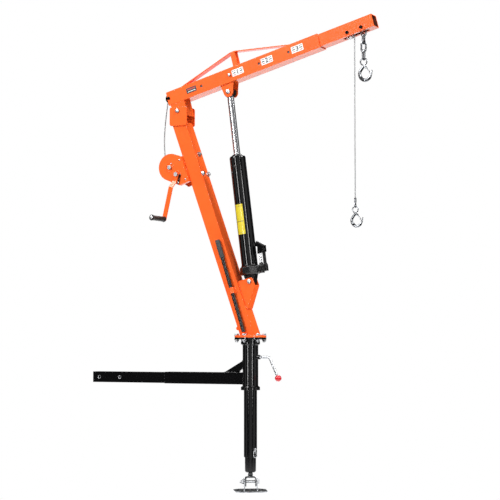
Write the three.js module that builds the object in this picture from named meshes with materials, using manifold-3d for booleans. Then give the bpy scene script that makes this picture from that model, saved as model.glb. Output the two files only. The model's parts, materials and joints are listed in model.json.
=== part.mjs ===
// Pickup truck crane: a hitch bar carries a swivel column with a leaning mast, a telescopic boom on a
// hydraulic jack, a geared hand winch with wire rope, and a sliding support leg on a tilting foot.
// Millimetres, +Z up. The origin is under the foot plate on the swivel axis; the boom points along +X.

import * as THREE from 'three';
import { mergeVertices } from 'three/addons/utils/BufferGeometryUtils.js';
import Module from 'manifold-3d';

const wasm = await Module();
wasm.setup();

// Clearances
const seat = 0.3;
const runningGap = 0.5;
const slideGap = 1.0;
const overrun = 4;
const weldSink = 0.5;

// Foot and leg
const footTurn = 34;
const footPlateSide = 150;
const footPlateThickness = 6;
const footPlateCut = 28;
const lugThickness = 6;
const lugWidth = 34;
const footBoltHeight = 45;
const footBoltDiameter = 12;
const footBoltStub = 9;
const yokeWidth = 51;
const yokeThickness = 5;
const yokeStrap = 30;
const yokeTop = 68;
const yokeSkirt = 21;
const yokeCorner = 11;
const studDiameter = 14;
const studFlange = 25;
const studFlangeHeight = 3;
const studFlare = 4;
const studHead = 26;
const studHeadHeight = 5;
const legDiameter = 51;
const legWall = 3;
const legLength = 430;
const legPlug = 20;
const legChamfer = 4;
const legBottom = 88;
const legPinHeight = 193;
const legPinAngle = -27;
const legPinDiameter = 10;
const legPinHead = 13;
const legPinGrip = 9;
const legPinRingWidth = 15;
const legPinRingHeight = 32;
const legPinRingWire = 3;

// Swivel column
const postDiameter = 60.3;
const postWall = 3.6;
const postBottom = 157;
const flangeDiameter = 147;
const flangeThickness = 9;
const boltCircle = 126;
const flangeBoltCount = 6;
const flangeBoltDiameter = 12;
const flangeBoltStub = 5;
const washerDiameter = 82;
const washerThickness = 8;
const sleeveDiameter = 72;
const collarDiameter = 88;
const collarHeight = 17;
const collarChamfer = 4;
const lockRise = 98;
const lockBelowCollar = 56;
const lowerCollarDrop = 8.7;
const lockBossDiameter = 21;
const lockBossLength = 13;
const lockScrewDiameter = 12;
const lockReach = 98;
const lockDropAcross = 38;
const lockDropDown = 82;
const lockBend = 16;
const lockBallDiameter = 31;
const lockSteps = 14;

// Hitch bar
const shankSide = 50.8;
const shankWall = 5;
const shankEnd = 846;
const barSide = 54.6;
const barWall = 3;
const barStart = 442;
const barLap = 60;
const barHeight = 516;
const hitchPinHole = 16;
const hitchPinFirst = 810;
const hitchPinSecond = 694;
const braceBarWidth = 30;
const braceBarStart = 129;
const braceBarFoot = 66;
const braceBarLow = 22;
const braceBarHigh = 57;

// Mast
const mastLean = 20;
const mastSide = 68;
const mastWall = 4;
const mastTop = 1009;
const pivotForward = 17;
const pivotAboveTop = 118;
const pivotDiameter = 16;
const pivotHead = 20;
const earThickness = 6;
const earBehind = 43;
const earAhead = 50;
const earAbove = 19;
const earBelow = 71;
const earCorner = 12;
const saddleRise = 219;
const saddleLength = 27;
const saddleThickness = 3;
const saddleFoot = 9;
const heelLugRise = 47;
const heelLugRadius = 9;
const heelLugThickness = 6;

// Stored jack handle
const handleDiameter = 17;
const handleGripDiameter = 22;
const handleWall = 2;
const handleStart = 19;
const handleLength = 446;
const handleGripLength = 84;
const handleTilt = 2;
const handleForward = -6;
const handleStandoff = 12;

// Jack bracket
const jackPinForward = 90.5;
const jackPinRise = 231;
const jackPinDiameter = 16;
const jackPinHead = 21;
const bracketWidth = 48;
const bracketWall = 5;
const bracketTop = 252;
const bracketTopDrop = 6;
const bracketFront = 111;
const bracketShoulder = 205;
const bracketToe = 117;
const bracketToeForward = 42;
const bracketCorner = 12;

// Boom
const boomAngle = 14.8;
const boomSide = 66;
const boomWall = 3;
const boomRear = 42;
const boomFront = 779;
const boomRise = 74;
const lockHoleFirst = 149;
const lockHolePitch = 157.5;
const lockHoleCount = 4;
const lockPinHole = 13;
const lockPinDiameter = 12;
const lockPinHead = 15;
const lockPinGrip = 8;
const bossBehind = 32;
const bossAhead = 43;
const bossBelow = 35;
const bossWall = 5;
const bossCorner = 8;
const ramPinForward = 276;
const ramPinRise = 3;
const ramPinDiameter = 16;
const ramPinHead = 22;
const ramEarRadius = 25;
const ramEarWall = 6;
const ramEarWidth = 54;
const ramEarRootBehind = 32;
const ramEarRootAhead = 38;
const bracePostStart = 326;
const bracePostLength = 24;
const braceWidth = 32;
const braceTop = 75;
const braceStrap = 5;
const braceFootLength = 20;
const braceRearFoot = 12;
const braceFrontFoot = 652;
const rollerBehind = 34;
const rollerRise = 76;
const rollerRadius = 22;
const rollerGroove = 18;
const rollerWidth = 50;
const rollerAxle = 10;
const rollerAxleHead = 15;

// Inner boom
const innerSide = 58;
const innerWall = 3;
const innerRear = 276;
const innerFront = 1051;
const innerSlotStart = 889;
const innerSlotEnd = 1014;
const innerSlotWidth = 26;
const pulleyForward = 920;
const pulleyRise = 61;
const pulleyRadius = 26;
const pulleyGroove = 21.2;
const pulleyWidth = 14;
const pulleyBolt = 12;
const chainBoltForward = 990;
const headBoltDiameter = 16;
const headBoltHeight = 4;

// Chain and hooks
const linkWire = 8;
const linkInnerLength = 36.5;
const linkInnerWidth = 14;
const linkCount = 4;
const chainHookSize = 28;
const ropeHookSize = 25;

// Spine of a hook from its eye down and round the bowl: across, height and half thickness as shares
// of the hook size, measured from the centre of the eye
const hookSpineShares = [
  [0, -0.6, 0.2], [-0.06, -0.85, 0.23], [-0.36, -1.2, 0.24], [-0.65, -1.65, 0.25], [-0.7, -2.1, 0.26],
  [-0.42, -2.68, 0.29], [0.24, -3.04, 0.3], [0.94, -2.76, 0.25], [1.26, -2.16, 0.17], [1.46, -1.46, 0.09],
];
const hookEyeShare = 0.56;
const hookWireShare = 0.11;
const hookLugAcrossShare = 0.3;
const hookLugHeightShare = -0.9;
const hookLugRadiusShare = 0.17;
const hookLugHalfShare = 0.09;
const latchPinShare = 0.05;
const latchGapShare = 0.02;
const latchCheekShare = 0.05;
const latchStrapShare = 0.055;
const latchPointShares = [[0.56, -1.1], [0.9, -1.5], [1.1, -1.97]];

// Wire rope
const ropeDiameter = 5;
const slackAtDrum = 16;
const slackAtRoller = 9;
const ferruleTop = 1327;
const ferruleLength = 20;
const ferruleWidth = 13;
const ferruleDepth = 10;
const loopDrop = 23;
const loopRadius = 7.5;

// Jack
const cylinderDiameter = 75;
const cylinderTop = 588;
const cylinderWall = 3;
const cylinderFloor = 20;
const cylinderCap = 16;
const pressureWall = 4.5;
const pressureFloor = 36;
const reservoirGap = 8;
const glandDiameter = 50;
const glandHeight = 7;
const cylinderChamfer = 5;
const rodDiameter = 31;
const rodBottom = 270;
const rodNeck = 24.3;
const eyeRadius = 24;
const eyeWidth = 36;
const eyePlay = 8.2;
const eyeAlong = -0.6;
const eyeAcross = -4.3;
const footEyeRadius = 19;
const footEyeWidth = 36;
const footEyeTop = 32;
const footEyeRoot = 29;
const castingRadius = 48;
const castingBottom = 32;
const castingTop = 72;
const castingChamfer = 6;
const pumpForward = 60;
const pumpRadius = 12;
const pumpTop = 80;
const plungerDiameter = 9;
const plungerBottom = 48;
const plungerPinRise = 130;
const plungerHeadWidth = 12;
const plungerHeadLength = 18;
const plungerSlotLength = 12;
const plungerHeadWall = 3;
const fulcrumForward = 80;
const fulcrumRise = 136;
const fulcrumThickness = 11;
const fulcrumWidth = 12;
const leverPin = 7;
const socketForward = 66;
const socketRise = 155;
const socketTilt = 34;
const socketLength = 47;
const socketDiameter = 26;
const socketBore = 19;
const cheekThickness = 4;
const cheekRadius = 9;
const valveRise = 52;
const valveStem = 10;
const valveDepth = 14;
const valveHead = 17;
const valveLength = 18;
const valveSlot = 4;

// Winch, placed from the mast's top and centre line, and its pieces from the drum
const drumBehind = 108;
const drumBelowTop = 124;
const crankForward = 27;
const crankDrop = 48;
const winchWidth = 72;
const winchWall = 4;
const winchAbove = 40;
const winchBelow = 99;
const studAbove = 13;
const studBelow = 87;
const studSpread = 26;
const studThread = 10;
const studNutHeight = 8;
const framePlateRadius = 44;
const coverRadius = 64;
const coverDepth = 15;
const coverWall = 2;
const coverCentreShift = 4;
const coverShoulderAbove = 27;
const coverToeBelow = 101;
const coverToeForward = 22;
const drumBarrel = 40;
const drumFlange = 48;
const drumFlangeWall = 2.5;
const drumHub = 13;
const drumBore = 12.6;
const axleDiameter = 12;
const gearTeeth = 36;
const pinionTeeth = 9;
const gearWidth = 8;
const gearHoleRadius = 7;
const gearHoleCount = 5;
const windingTurns = 4.5;
const windingPitch = 5.7;
const crankShaftDiameter = 12;
const crankHubDiameter = 20;
const ratchetRadius = 10;
const ratchetTeeth = 8;
const ratchetWidth = 5;
const ratchetStep = 2.5;
const pawlForward = 20;
const pawlDrop = 87;
const pawlTip = 6;
const pawlWidth = 7;
const pawlPin = 6;
const pawlTooth = 2;
const crankAngle = 33.4;
const crankWidth = 21;
const crankThickness = 6;
const crankLength = 218;
const crankJogStart = 32;
const crankJogEnd = 62;
const crankJog = 26;
const gripLength = 112;
const gripDiameter = 25;
const gripBore = 10;
const gripFlare = 2;
const gripFlareShare = 0.12;
const gripBoltDiameter = 9;
const gripBoltHead = 17;
const gripBoltHeadHeight = 5;

// Hexagons: width across flats as a share of the thread, and the height of heads and nuts
const hexFlatsShare = 1.55;
const hexHeightShare = 0.66;

// Tooth height as shares of the module, tooth thickness at root and tip as shares of the pitch
const addendumShare = 0.85;
const dedendumShare = 1.2;
const toothRootShare = 0.31;
const toothTipShare = 0.1;

// Facets
const roundSides = 22;
const smallSides = 12;
const holeSides = 10;
const barSides = 10;
const ropeSides = 8;
const coilSides = 6;
const coilSteps = 24;
const hookSteps = 14;
const bendSteps = 9;
const slackSteps = 10;
const loopSteps = 16;
const pulleySides = 20;
const castingSides = 8;
const linkEndSteps = 6;

// Worked out from the driving sizes
const radians = THREE.MathUtils.degToRad;
const lockHeight = barHeight + lockRise;
const sleeveTop = lockHeight + lockBelowCollar + collarHeight;
const sleeveBottom = barHeight - barSide / 2 - lowerCollarDrop - collarHeight;
const flangeTop = sleeveTop + washerThickness + 2 * flangeThickness + 3 * seat;
const pivotRise = mastTop + pivotAboveTop;
const drumRise = mastTop - drumBelowTop;
const crankBehind = drumBehind - crankForward;
const crankRise = drumRise - crankDrop;
const winchTop = drumRise + winchAbove;
const winchBottom = drumRise - winchBelow;
const studRiseHigh = drumRise + studAbove;
const studRiseLow = drumRise - studBelow;
const coverShoulder = drumRise + coverShoulderAbove;
const coverToe = drumRise - coverToeBelow;
const coverToeBehind = drumBehind - coverToeForward;
const pawlBehind = drumBehind - pawlForward;
const pawlRise = drumRise - pawlDrop;
const mastFrame = new THREE.Matrix4().makeRotationY(-radians(mastLean)).setPosition(0, 0, flangeTop);
const pivot = new THREE.Vector3(pivotForward, 0, pivotRise).applyMatrix4(mastFrame);
const boomFrame = new THREE.Matrix4().makeRotationY(-radians(boomAngle)).setPosition(pivot);
const ramPinPlace = new THREE.Vector3(ramPinForward, 0, ramPinRise).applyMatrix4(boomFrame);
const jackPinPlace = new THREE.Vector3(jackPinForward, 0, jackPinRise).applyMatrix4(mastFrame);
const jackAim = ramPinPlace.clone().sub(jackPinPlace);
const eyeDistance = jackAim.length() + eyeAlong;
const rodTop = eyeDistance - rodNeck;
const jackLean = Math.atan2(-jackAim.x, jackAim.z) - Math.atan2(eyeAcross, eyeDistance);
const jackFrame = new THREE.Matrix4().makeRotationY(-jackLean).setPosition(jackPinPlace);
const footFrame = new THREE.Matrix4().makeRotationZ(radians(footTurn));
const chainBoltPlace = new THREE.Vector3(chainBoltForward, 0, pulleyRise).applyMatrix4(boomFrame);
const pulleyPlace = new THREE.Vector3(pulleyForward, 0, pulleyRise).applyMatrix4(boomFrame);
const ropeRadius = ropeDiameter / 2;
const pulleyRopeRadius = pulleyGroove + seat + ropeRadius;
const rollerRopeRadius = rollerGroove + seat + ropeRadius;
const drumRopeRadius = (drumBarrel + seat + ropeRadius) / Math.cos(Math.PI / coilSteps);

// Colours of the finishes
const finishes = {
  orange: { color: 0xff5a1c, roughness: 0.42, metalness: 0.1 },
  black: { color: 0x111214, roughness: 0.35, metalness: 0.2 },
  zinc: { color: 0xb9bec4, roughness: 0.35, metalness: 0.9 },
  chrome: { color: 0xd9dde2, roughness: 0.12, metalness: 1 },
  rubber: { color: 0x2a2d2f, roughness: 0.8, metalness: 0 },
  red: { color: 0xd8202c, roughness: 0.25, metalness: 0 },
  bronze: { color: 0xa9805f, roughness: 0.4, metalness: 0.8 },
  rope: { color: 0xa9acae, roughness: 0.5, metalness: 0.8 },
};
const materials = Object.fromEntries(
  Object.entries(finishes).map(([name, look]) => [name, new THREE.MeshStandardMaterial(look)]),
);

// Solids
const solidOf = (geometry) => {
  const bare = geometry.clone();
  bare.deleteAttribute('normal');
  bare.deleteAttribute('uv');
  const merged = mergeVertices(bare);
  const vertProperties = Float32Array.from(merged.attributes.position.array);
  const triVerts = Uint32Array.from(merged.index.array);
  return new wasm.Manifold(new wasm.Mesh({ numProp: 3, vertProperties, triVerts }));
};

const geometryOf = (solid) => {
  const mesh = solid.getMesh();
  const geometry = new THREE.BufferGeometry();
  const places = [];
  for (let i = 0; i < mesh.vertProperties.length; i += mesh.numProp) {
    places.push(mesh.vertProperties[i], mesh.vertProperties[i + 1], mesh.vertProperties[i + 2]);
  }
  geometry.setAttribute('position', new THREE.Float32BufferAttribute(places, 3));
  geometry.setIndex([...mesh.triVerts]);
  geometry.computeVertexNormals();
  return geometry;
};

const moved = (solid, x, y, z) => solid.translate([x, y, z]);
const framed = (solid, matrix) => solid.transform(matrix.elements);
const joined = (...solids) => solids.reduce((whole, piece) => whole.add(piece));
const cut = (solid, ...cutters) => cutters.reduce((rest, cutter) => rest.subtract(cutter), solid);

// A block given by the places of its faces
const block = (x0, x1, y0, y1, z0, z1) => {
  const geometry = new THREE.BoxGeometry(x1 - x0, y1 - y0, z1 - z0);
  return moved(solidOf(geometry), (x0 + x1) / 2, (y0 + y1) / 2, (z0 + z1) / 2);
};

// Round bars along an axis, from one face to the other
const rodZ = (radius, z0, z1, sides = smallSides, topRadius = radius) => {
  const geometry = new THREE.CylinderGeometry(topRadius, radius, z1 - z0, sides);
  geometry.rotateX(Math.PI / 2);
  return moved(solidOf(geometry), 0, 0, (z0 + z1) / 2);
};
const rodY = (radius, y0, y1, sides = smallSides) => {
  const geometry = new THREE.CylinderGeometry(radius, radius, y1 - y0, sides);
  return moved(solidOf(geometry), 0, (y0 + y1) / 2, 0);
};
const rodX = (radius, x0, x1, sides = smallSides) => {
  const geometry = new THREE.CylinderGeometry(radius, radius, x1 - x0, sides);
  geometry.rotateZ(Math.PI / 2);
  return moved(solidOf(geometry), (x0 + x1) / 2, 0, 0);
};

// Round ways cut along an axis, whose flats lie at the radius
const wayRadius = (radius, sides) => radius / Math.cos(Math.PI / sides);
const boreX = (radius, x0, x1, sides = smallSides) => rodX(wayRadius(radius, sides), x0, x1, sides);
const boreY = (radius, y0, y1, sides = smallSides) => rodY(wayRadius(radius, sides), y0, y1, sides);
const boreZ = (radius, z0, z1, sides = smallSides) => rodZ(wayRadius(radius, sides), z0, z1, sides);

// A profile of [radius, height] points turned about Z
const turned = (profile, sides = roundSides) => {
  const closed = [...profile, profile[0]].map(([radius, height]) => new THREE.Vector2(radius, height));
  const geometry = new THREE.LatheGeometry(closed, sides);
  geometry.rotateX(Math.PI / 2);
  return solidOf(geometry);
};

// An outline in X and Z, with its thickness along Y from one face to the other
const plateXZ = (shape, y0, y1, curveSegments = 12) => {
  const options = { depth: y1 - y0, bevelEnabled: false, curveSegments };
  const geometry = new THREE.ExtrudeGeometry(shape, options);
  geometry.rotateX(Math.PI / 2);
  return moved(solidOf(geometry), 0, y1, 0);
};

// An outline in Y and Z, with its thickness along X from one face to the other
const plateYZ = (shape, x0, x1, curveSegments = 12) => {
  const options = { depth: x1 - x0, bevelEnabled: false, curveSegments };
  const geometry = new THREE.ExtrudeGeometry(shape, options);
  geometry.rotateX(Math.PI / 2);
  geometry.rotateZ(Math.PI / 2);
  return moved(solidOf(geometry), x0, 0, 0);
};

// An outline in X and Y, with its thickness along Z from one face to the other
const plateXY = (shape, z0, z1, curveSegments = 12) => {
  const options = { depth: z1 - z0, bevelEnabled: false, curveSegments };
  return moved(solidOf(new THREE.ExtrudeGeometry(shape, options)), 0, 0, z0);
};

const outline = (points) => new THREE.Shape(points.map(([x, y]) => new THREE.Vector2(x, y)));

// A polygon with each corner rounded by its own radius: points are [x, y, radius]
const softOutline = (points) => {
  const shape = new THREE.Shape();
  const count = points.length;
  for (let i = 0; i < count; i += 1) {
    const corner = new THREE.Vector2(points[i][0], points[i][1]);
    const before = points[(i + count - 1) % count];
    const after = points[(i + 1) % count];
    const radius = points[i][2] ?? 0;
    const toBefore = new THREE.Vector2(before[0], before[1]).sub(corner).setLength(radius);
    const toAfter = new THREE.Vector2(after[0], after[1]).sub(corner).setLength(radius);
    const start = corner.clone().add(toBefore);
    const end = corner.clone().add(toAfter);
    if (i === 0) shape.moveTo(start.x, start.y);
    else shape.lineTo(start.x, start.y);
    if (radius > 0) shape.quadraticCurveTo(corner.x, corner.y, end.x, end.y);
  }
  shape.closePath();
  return shape;
};

const regularOutline = (radius, sides, phase = 0) => {
  const points = [];
  for (let i = 0; i < sides; i += 1) {
    const angle = phase + (2 * Math.PI * i) / sides;
    points.push([radius * Math.cos(angle), radius * Math.sin(angle)]);
  }
  return outline(points);
};

// Hexagonal heads and nuts for a thread, standing along Z
const hexSize = (thread) => (thread * hexFlatsShare) / 2 / Math.cos(Math.PI / 6);
const hexHeight = (thread) => thread * hexHeightShare;
const hexZ = (thread, z0, z1) => plateXY(regularOutline(hexSize(thread), 6), z0, z1);

// A path of straight runs with rounded corners
const routeOf = (points, bend) => {
  const path = new THREE.CurvePath();
  let from = points[0];
  for (let i = 1; i < points.length - 1; i += 1) {
    const corner = points[i];
    const before = corner.clone().add(from.clone().sub(corner).setLength(bend));
    const after = corner.clone().add(points[i + 1].clone().sub(corner).setLength(bend));
    path.add(new THREE.LineCurve3(from, before));
    path.add(new THREE.QuadraticBezierCurve3(before, corner, after));
    from = after;
  }
  path.add(new THREE.LineCurve3(from, points[points.length - 1]));
  return path;
};

const barAlong = (path, radius, steps, sides = smallSides) =>
  new THREE.ExtrudeGeometry(regularOutline(radius, sides), {
    steps,
    bevelEnabled: false,
    extrudePath: path,
  });

// Rings of points joined into a skin: closed on itself, or capped at both ends
const skinned = (rings, closed) => {
  const sides = rings[0].length;
  const places = [];
  const faces = [];
  rings.forEach((ring) => ring.forEach((point) => places.push(point.x, point.y, point.z)));
  const last = closed ? rings.length : rings.length - 1;
  for (let i = 0; i < last; i += 1) {
    const next = (i + 1) % rings.length;
    for (let j = 0; j < sides; j += 1) {
      const side = (j + 1) % sides;
      faces.push(i * sides + j, i * sides + side, next * sides + side);
      faces.push(i * sides + j, next * sides + side, next * sides + j);
    }
  }
  if (!closed) {
    const end = (rings.length - 1) * sides;
    for (let j = 1; j < sides - 1; j += 1) {
      faces.push(0, j + 1, j);
      faces.push(end, end + j, end + j + 1);
    }
  }
  const geometry = new THREE.BufferGeometry();
  geometry.setAttribute('position', new THREE.Float32BufferAttribute(places, 3));
  geometry.setIndex(faces);
  return geometry;
};

// A ring of points round a place, square to a direction that lies in the plane with the given normal
const ringRound = (centre, direction, normal, radius, sides) => {
  const across = new THREE.Vector3().crossVectors(direction, normal).normalize();
  const ring = [];
  for (let j = 0; j < sides; j += 1) {
    const angle = (2 * Math.PI * j) / sides;
    const point = centre.clone();
    point.addScaledVector(across, radius * Math.cos(angle));
    point.addScaledVector(normal, -radius * Math.sin(angle));
    ring.push(point);
  }
  return ring;
};

const group = new THREE.Group();
const frameGroup = (matrix) => {
  const inner = new THREE.Group();
  inner.applyMatrix4(matrix);
  group.add(inner);
  return inner;
};
const inFoot = frameGroup(footFrame);
const inMast = frameGroup(mastFrame);
const inBoom = frameGroup(boomFrame);
const inJack = frameGroup(jackFrame);

const put = (name, finish, solid, parent = group) => {
  const mesh = new THREE.Mesh(geometryOf(solid), materials[finish]);
  mesh.name = name;
  parent.add(mesh);
  return mesh;
};

// Foot: plate with two lugs, yoke with its swivel stud, and the tilt bolt
const makeFoot = () => {
  const half = footPlateSide / 2;
  const cutHalf = half - footPlateCut;
  const plate = plateXY(
    outline([
      [-half, -cutHalf], [-cutHalf, -half], [cutHalf, -half], [half, -cutHalf],
      [half, cutHalf], [cutHalf, half], [-cutHalf, half], [-half, cutHalf],
    ]),
    0,
    footPlateThickness,
  );
  const lugInner = yokeWidth / 2 + runningGap;
  const lugOuter = lugInner + lugThickness;
  const lugShape = new THREE.Shape();
  lugShape.moveTo(-lugWidth / 2, footPlateThickness - weldSink);
  lugShape.lineTo(lugWidth / 2, footPlateThickness - weldSink);
  lugShape.lineTo(lugWidth / 2, footBoltHeight);
  lugShape.absarc(0, footBoltHeight, lugWidth / 2, 0, Math.PI, false);
  lugShape.closePath();
  const boltRadius = footBoltDiameter / 2;
  const boltHole = moved(
    boreX(boltRadius + seat, -lugOuter - overrun, lugOuter + overrun),
    0, 0, footBoltHeight,
  );
  const lugs = joined(plateYZ(lugShape, lugInner, lugOuter), plateYZ(lugShape, -lugOuter, -lugInner));
  put('foot_plate', 'zinc', cut(joined(plate, lugs), boltHole), inFoot);

  const yokeHalf = yokeWidth / 2;
  const yokeLow = footBoltHeight - yokeSkirt;
  const yokeShape = softOutline([
    [-yokeHalf, yokeLow], [-yokeHalf + yokeThickness, yokeLow],
    [-yokeHalf + yokeThickness, yokeTop - yokeThickness, yokeCorner - yokeThickness],
    [yokeHalf - yokeThickness, yokeTop - yokeThickness, yokeCorner - yokeThickness],
    [yokeHalf - yokeThickness, yokeLow], [yokeHalf, yokeLow],
    [yokeHalf, yokeTop, yokeCorner], [-yokeHalf, yokeTop, yokeCorner],
  ]);
  const yoke = plateXZ(yokeShape, -yokeStrap / 2, yokeStrap / 2, 4);
  const flangeTopZ = yokeTop + studFlangeHeight;
  const plugTop = legBottom + legPlug;
  const stud = turned([
    [0, yokeTop - weldSink], [studFlange / 2, yokeTop - weldSink], [studFlange / 2, flangeTopZ],
    [studDiameter / 2, flangeTopZ + studFlare], [studDiameter / 2, plugTop + runningGap],
    [studHead / 2, plugTop + runningGap], [studHead / 2, plugTop + runningGap + studHeadHeight],
    [0, plugTop + runningGap + studHeadHeight],
  ]);
  put('foot_yoke', 'zinc', joined(cut(yoke, boltHole), stud), inFoot);

  const nutHeight = hexHeight(footBoltDiameter);
  const face = lugOuter + seat;
  const lying = (solid) => solid.rotate([0, 90, 0]);
  const bolt = joined(
    rodX(boltRadius, -face - nutHeight - footBoltStub, face + weldSink),
    lying(hexZ(footBoltDiameter, face, face + nutHeight)),
    lying(hexZ(footBoltDiameter, -face - nutHeight, -face)),
  );
  put('foot_bolt', 'zinc', moved(bolt, 0, 0, footBoltHeight), inFoot);
};

// Leg tube with its end plug, and the pull pin with its ring
const makeLeg = () => {
  const outer = legDiameter / 2;
  const inner = outer - legWall;
  const bore = studDiameter / 2 + runningGap;
  const leg = turned([
    [bore, legBottom], [outer - legChamfer, legBottom], [outer, legBottom + legChamfer],
    [outer, legBottom + legLength], [inner, legBottom + legLength], [inner, legBottom + legPlug],
    [bore, legBottom + legPlug],
  ]);
  put('leg_tube', 'black', leg);

  const tip = outer + seat;
  const postFace = postDiameter / 2 + seat;
  const ringCentre = postFace + legPinGrip / 2;
  const ringTop = legPinHead / 2 - weldSink;
  const rings = [];
  for (let i = 0; i < smallSides; i += 1) {
    const angle = (2 * Math.PI * i) / smallSides;
    const direction = new THREE.Vector3(
      0,
      -Math.sin(angle) * legPinRingWidth,
      Math.cos(angle) * legPinRingHeight,
    ).normalize();
    const centre = new THREE.Vector3(
      ringCentre,
      (Math.cos(angle) * legPinRingWidth) / 2,
      -ringTop - legPinRingHeight / 2 + (Math.sin(angle) * legPinRingHeight) / 2,
    );
    rings.push(ringRound(centre, direction, new THREE.Vector3(1, 0, 0), legPinRingWire / 2, coilSides));
  }
  const pin = joined(
    rodX(legPinDiameter / 2, tip, postFace + weldSink),
    rodX(legPinHead / 2, postFace, postFace + legPinGrip),
    solidOf(skinned(rings, true)),
  );
  put('leg_pin', 'zinc', moved(pin.rotate([0, 0, legPinAngle]), 0, 0, legPinHeight));
};

// Post with its flange, thrust washer, bearing sleeve and the clamp screw that locks the swivel
const makeColumn = () => {
  const postOuter = postDiameter / 2;
  const postInner = postOuter - postWall;
  const washerTop = sleeveTop + seat + washerThickness;
  const flangeLow = washerTop + seat;
  const flangeHigh = flangeLow + flangeThickness;
  const post = turned([
    [postInner, postBottom], [postOuter, postBottom], [postOuter, flangeLow],
    [flangeDiameter / 2, flangeLow], [flangeDiameter / 2, flangeHigh], [postInner, flangeHigh],
  ]);
  const holes = flangeBoltPlaces().map(([x, y]) => moved(
    boreZ(flangeBoltDiameter / 2 + seat, flangeLow - overrun, flangeHigh + overrun, holeSides),
    x, y, 0,
  ));
  const pinHole = moved(
    boreX(legPinDiameter / 2 + seat, 0, postDiameter).rotate([0, 0, legPinAngle]),
    0, 0, legPinHeight,
  );
  put('post_tube', 'black', cut(post, ...holes, pinHole));

  const washer = turned([
    [postOuter + runningGap, sleeveTop + seat], [washerDiameter / 2, sleeveTop + seat],
    [washerDiameter / 2, washerTop], [postOuter + runningGap, washerTop],
  ]);
  put('thrust_washer', 'black', washer);

  const bore = postOuter + runningGap;
  const sleeve = sleeveDiameter / 2;
  const collar = collarDiameter / 2;
  const upperLow = sleeveTop - collarHeight;
  const lowerTop = sleeveBottom + collarHeight;
  const body = turned([
    [bore, sleeveBottom], [collar, sleeveBottom], [collar, lowerTop - collarChamfer],
    [collar - collarChamfer, lowerTop], [sleeve, lowerTop], [sleeve, upperLow],
    [collar - collarChamfer, upperLow], [collar, upperLow + collarChamfer],
    [collar, sleeveTop], [bore, sleeveTop],
  ], roundSides);
  const bossEnd = sleeve + lockBossLength;
  const boss = moved(rodX(lockBossDiameter / 2, sleeve - barWall, bossEnd), 0, 0, lockHeight);
  const thread = moved(
    boreX(lockScrewDiameter / 2 + seat, postInner, bossEnd + overrun),
    0, 0, lockHeight,
  );
  put('swivel_sleeve', 'black', cut(joined(body, boss), thread));

  const ball = new THREE.Vector3(lockReach + lockDropAcross, 0, lockHeight - lockDropDown);
  const corner = new THREE.Vector3(lockReach, 0, lockHeight);
  const route = routeOf([new THREE.Vector3(postOuter + seat, 0, lockHeight), corner, ball], lockBend);
  put('lock_handle', 'zinc', solidOf(barAlong(route, lockScrewDiameter / 2, lockSteps, barSides)));
  const along = ball.clone().sub(corner).normalize();
  const centre = ball.clone().addScaledVector(along, lockBallDiameter / 2 + seat - weldSink);
  const sphere = solidOf(new THREE.SphereGeometry(lockBallDiameter / 2, smallSides, smallSides / 2));
  const tipGap = framed(
    boreX(lockScrewDiameter / 2 + seat, -lockBallDiameter, seat - lockBallDiameter / 2 + weldSink),
    new THREE.Matrix4().makeRotationY(Math.atan2(-along.z, along.x)),
  );
  put('lock_knob', 'red', moved(cut(sphere, tipGap), centre.x, 0, centre.z));
};

const flangeBoltPlaces = () => {
  const places = [];
  for (let i = 0; i < flangeBoltCount; i += 1) {
    const angle = radians(-90) + (2 * Math.PI * i) / flangeBoltCount;
    places.push([(boltCircle / 2) * Math.cos(angle), (boltCircle / 2) * Math.sin(angle)]);
  }
  return places;
};

const makeFlangeBolts = () => {
  const low = flangeTop - 2 * flangeThickness - 2 * seat;
  const height = hexHeight(flangeBoltDiameter);
  flangeBoltPlaces().forEach(([x, y], index) => {
    const bolt = joined(
      rodZ(flangeBoltDiameter / 2, low - height - flangeBoltStub, flangeTop + weldSink + seat, holeSides),
      hexZ(flangeBoltDiameter, flangeTop + seat, flangeTop + seat + height),
      hexZ(flangeBoltDiameter, low - height, low),
    );
    put(`flange_bolt_${index + 1}`, 'zinc', moved(bolt, x, y, 0));
  });
};

// Hitch bar: the shank with its two pin holes runs into a larger tube that is coped to the sleeve
const makeDrawbar = () => {
  const square = (side, x0, x1) =>
    moved(block(x0, x1, -side / 2, side / 2, -side / 2, side / 2), 0, 0, barHeight);
  const cope = boreZ(sleeveDiameter / 2 + seat, barHeight - barSide, barHeight + barSide, roundSides);
  const lapEnd = -barStart + barLap;
  const bar = joined(square(barSide, -barStart, 0), square(shankSide, -shankEnd, lapEnd));
  const holes = [hitchPinFirst, hitchPinSecond].map((place) =>
    moved(rodY(hitchPinHole / 2, -barSide, barSide), -place, 0, barHeight));
  put('drawbar', 'black', cut(
    bar,
    square(shankSide - 2 * shankWall, -shankEnd - overrun, lapEnd + overrun),
    square(barSide - 2 * barWall, lapEnd, overrun),
    cope,
    ...holes,
  ));

  const top = barHeight + barSide / 2 + seat;
  const brace = plateXZ(
    outline([[-braceBarStart, top], [-braceBarFoot, top], [0, top + braceBarLow + braceBarWidth / 2],
      [0, top + braceBarHigh + braceBarWidth / 2]]),
    -braceBarWidth / 2,
    braceBarWidth / 2,
  );
  const sleeve = boreZ(sleeveDiameter / 2 + seat, barHeight, top + braceBarHigh + braceBarWidth, roundSides);
  put('drawbar_brace', 'black', cut(brace, sleeve));
};

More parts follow.
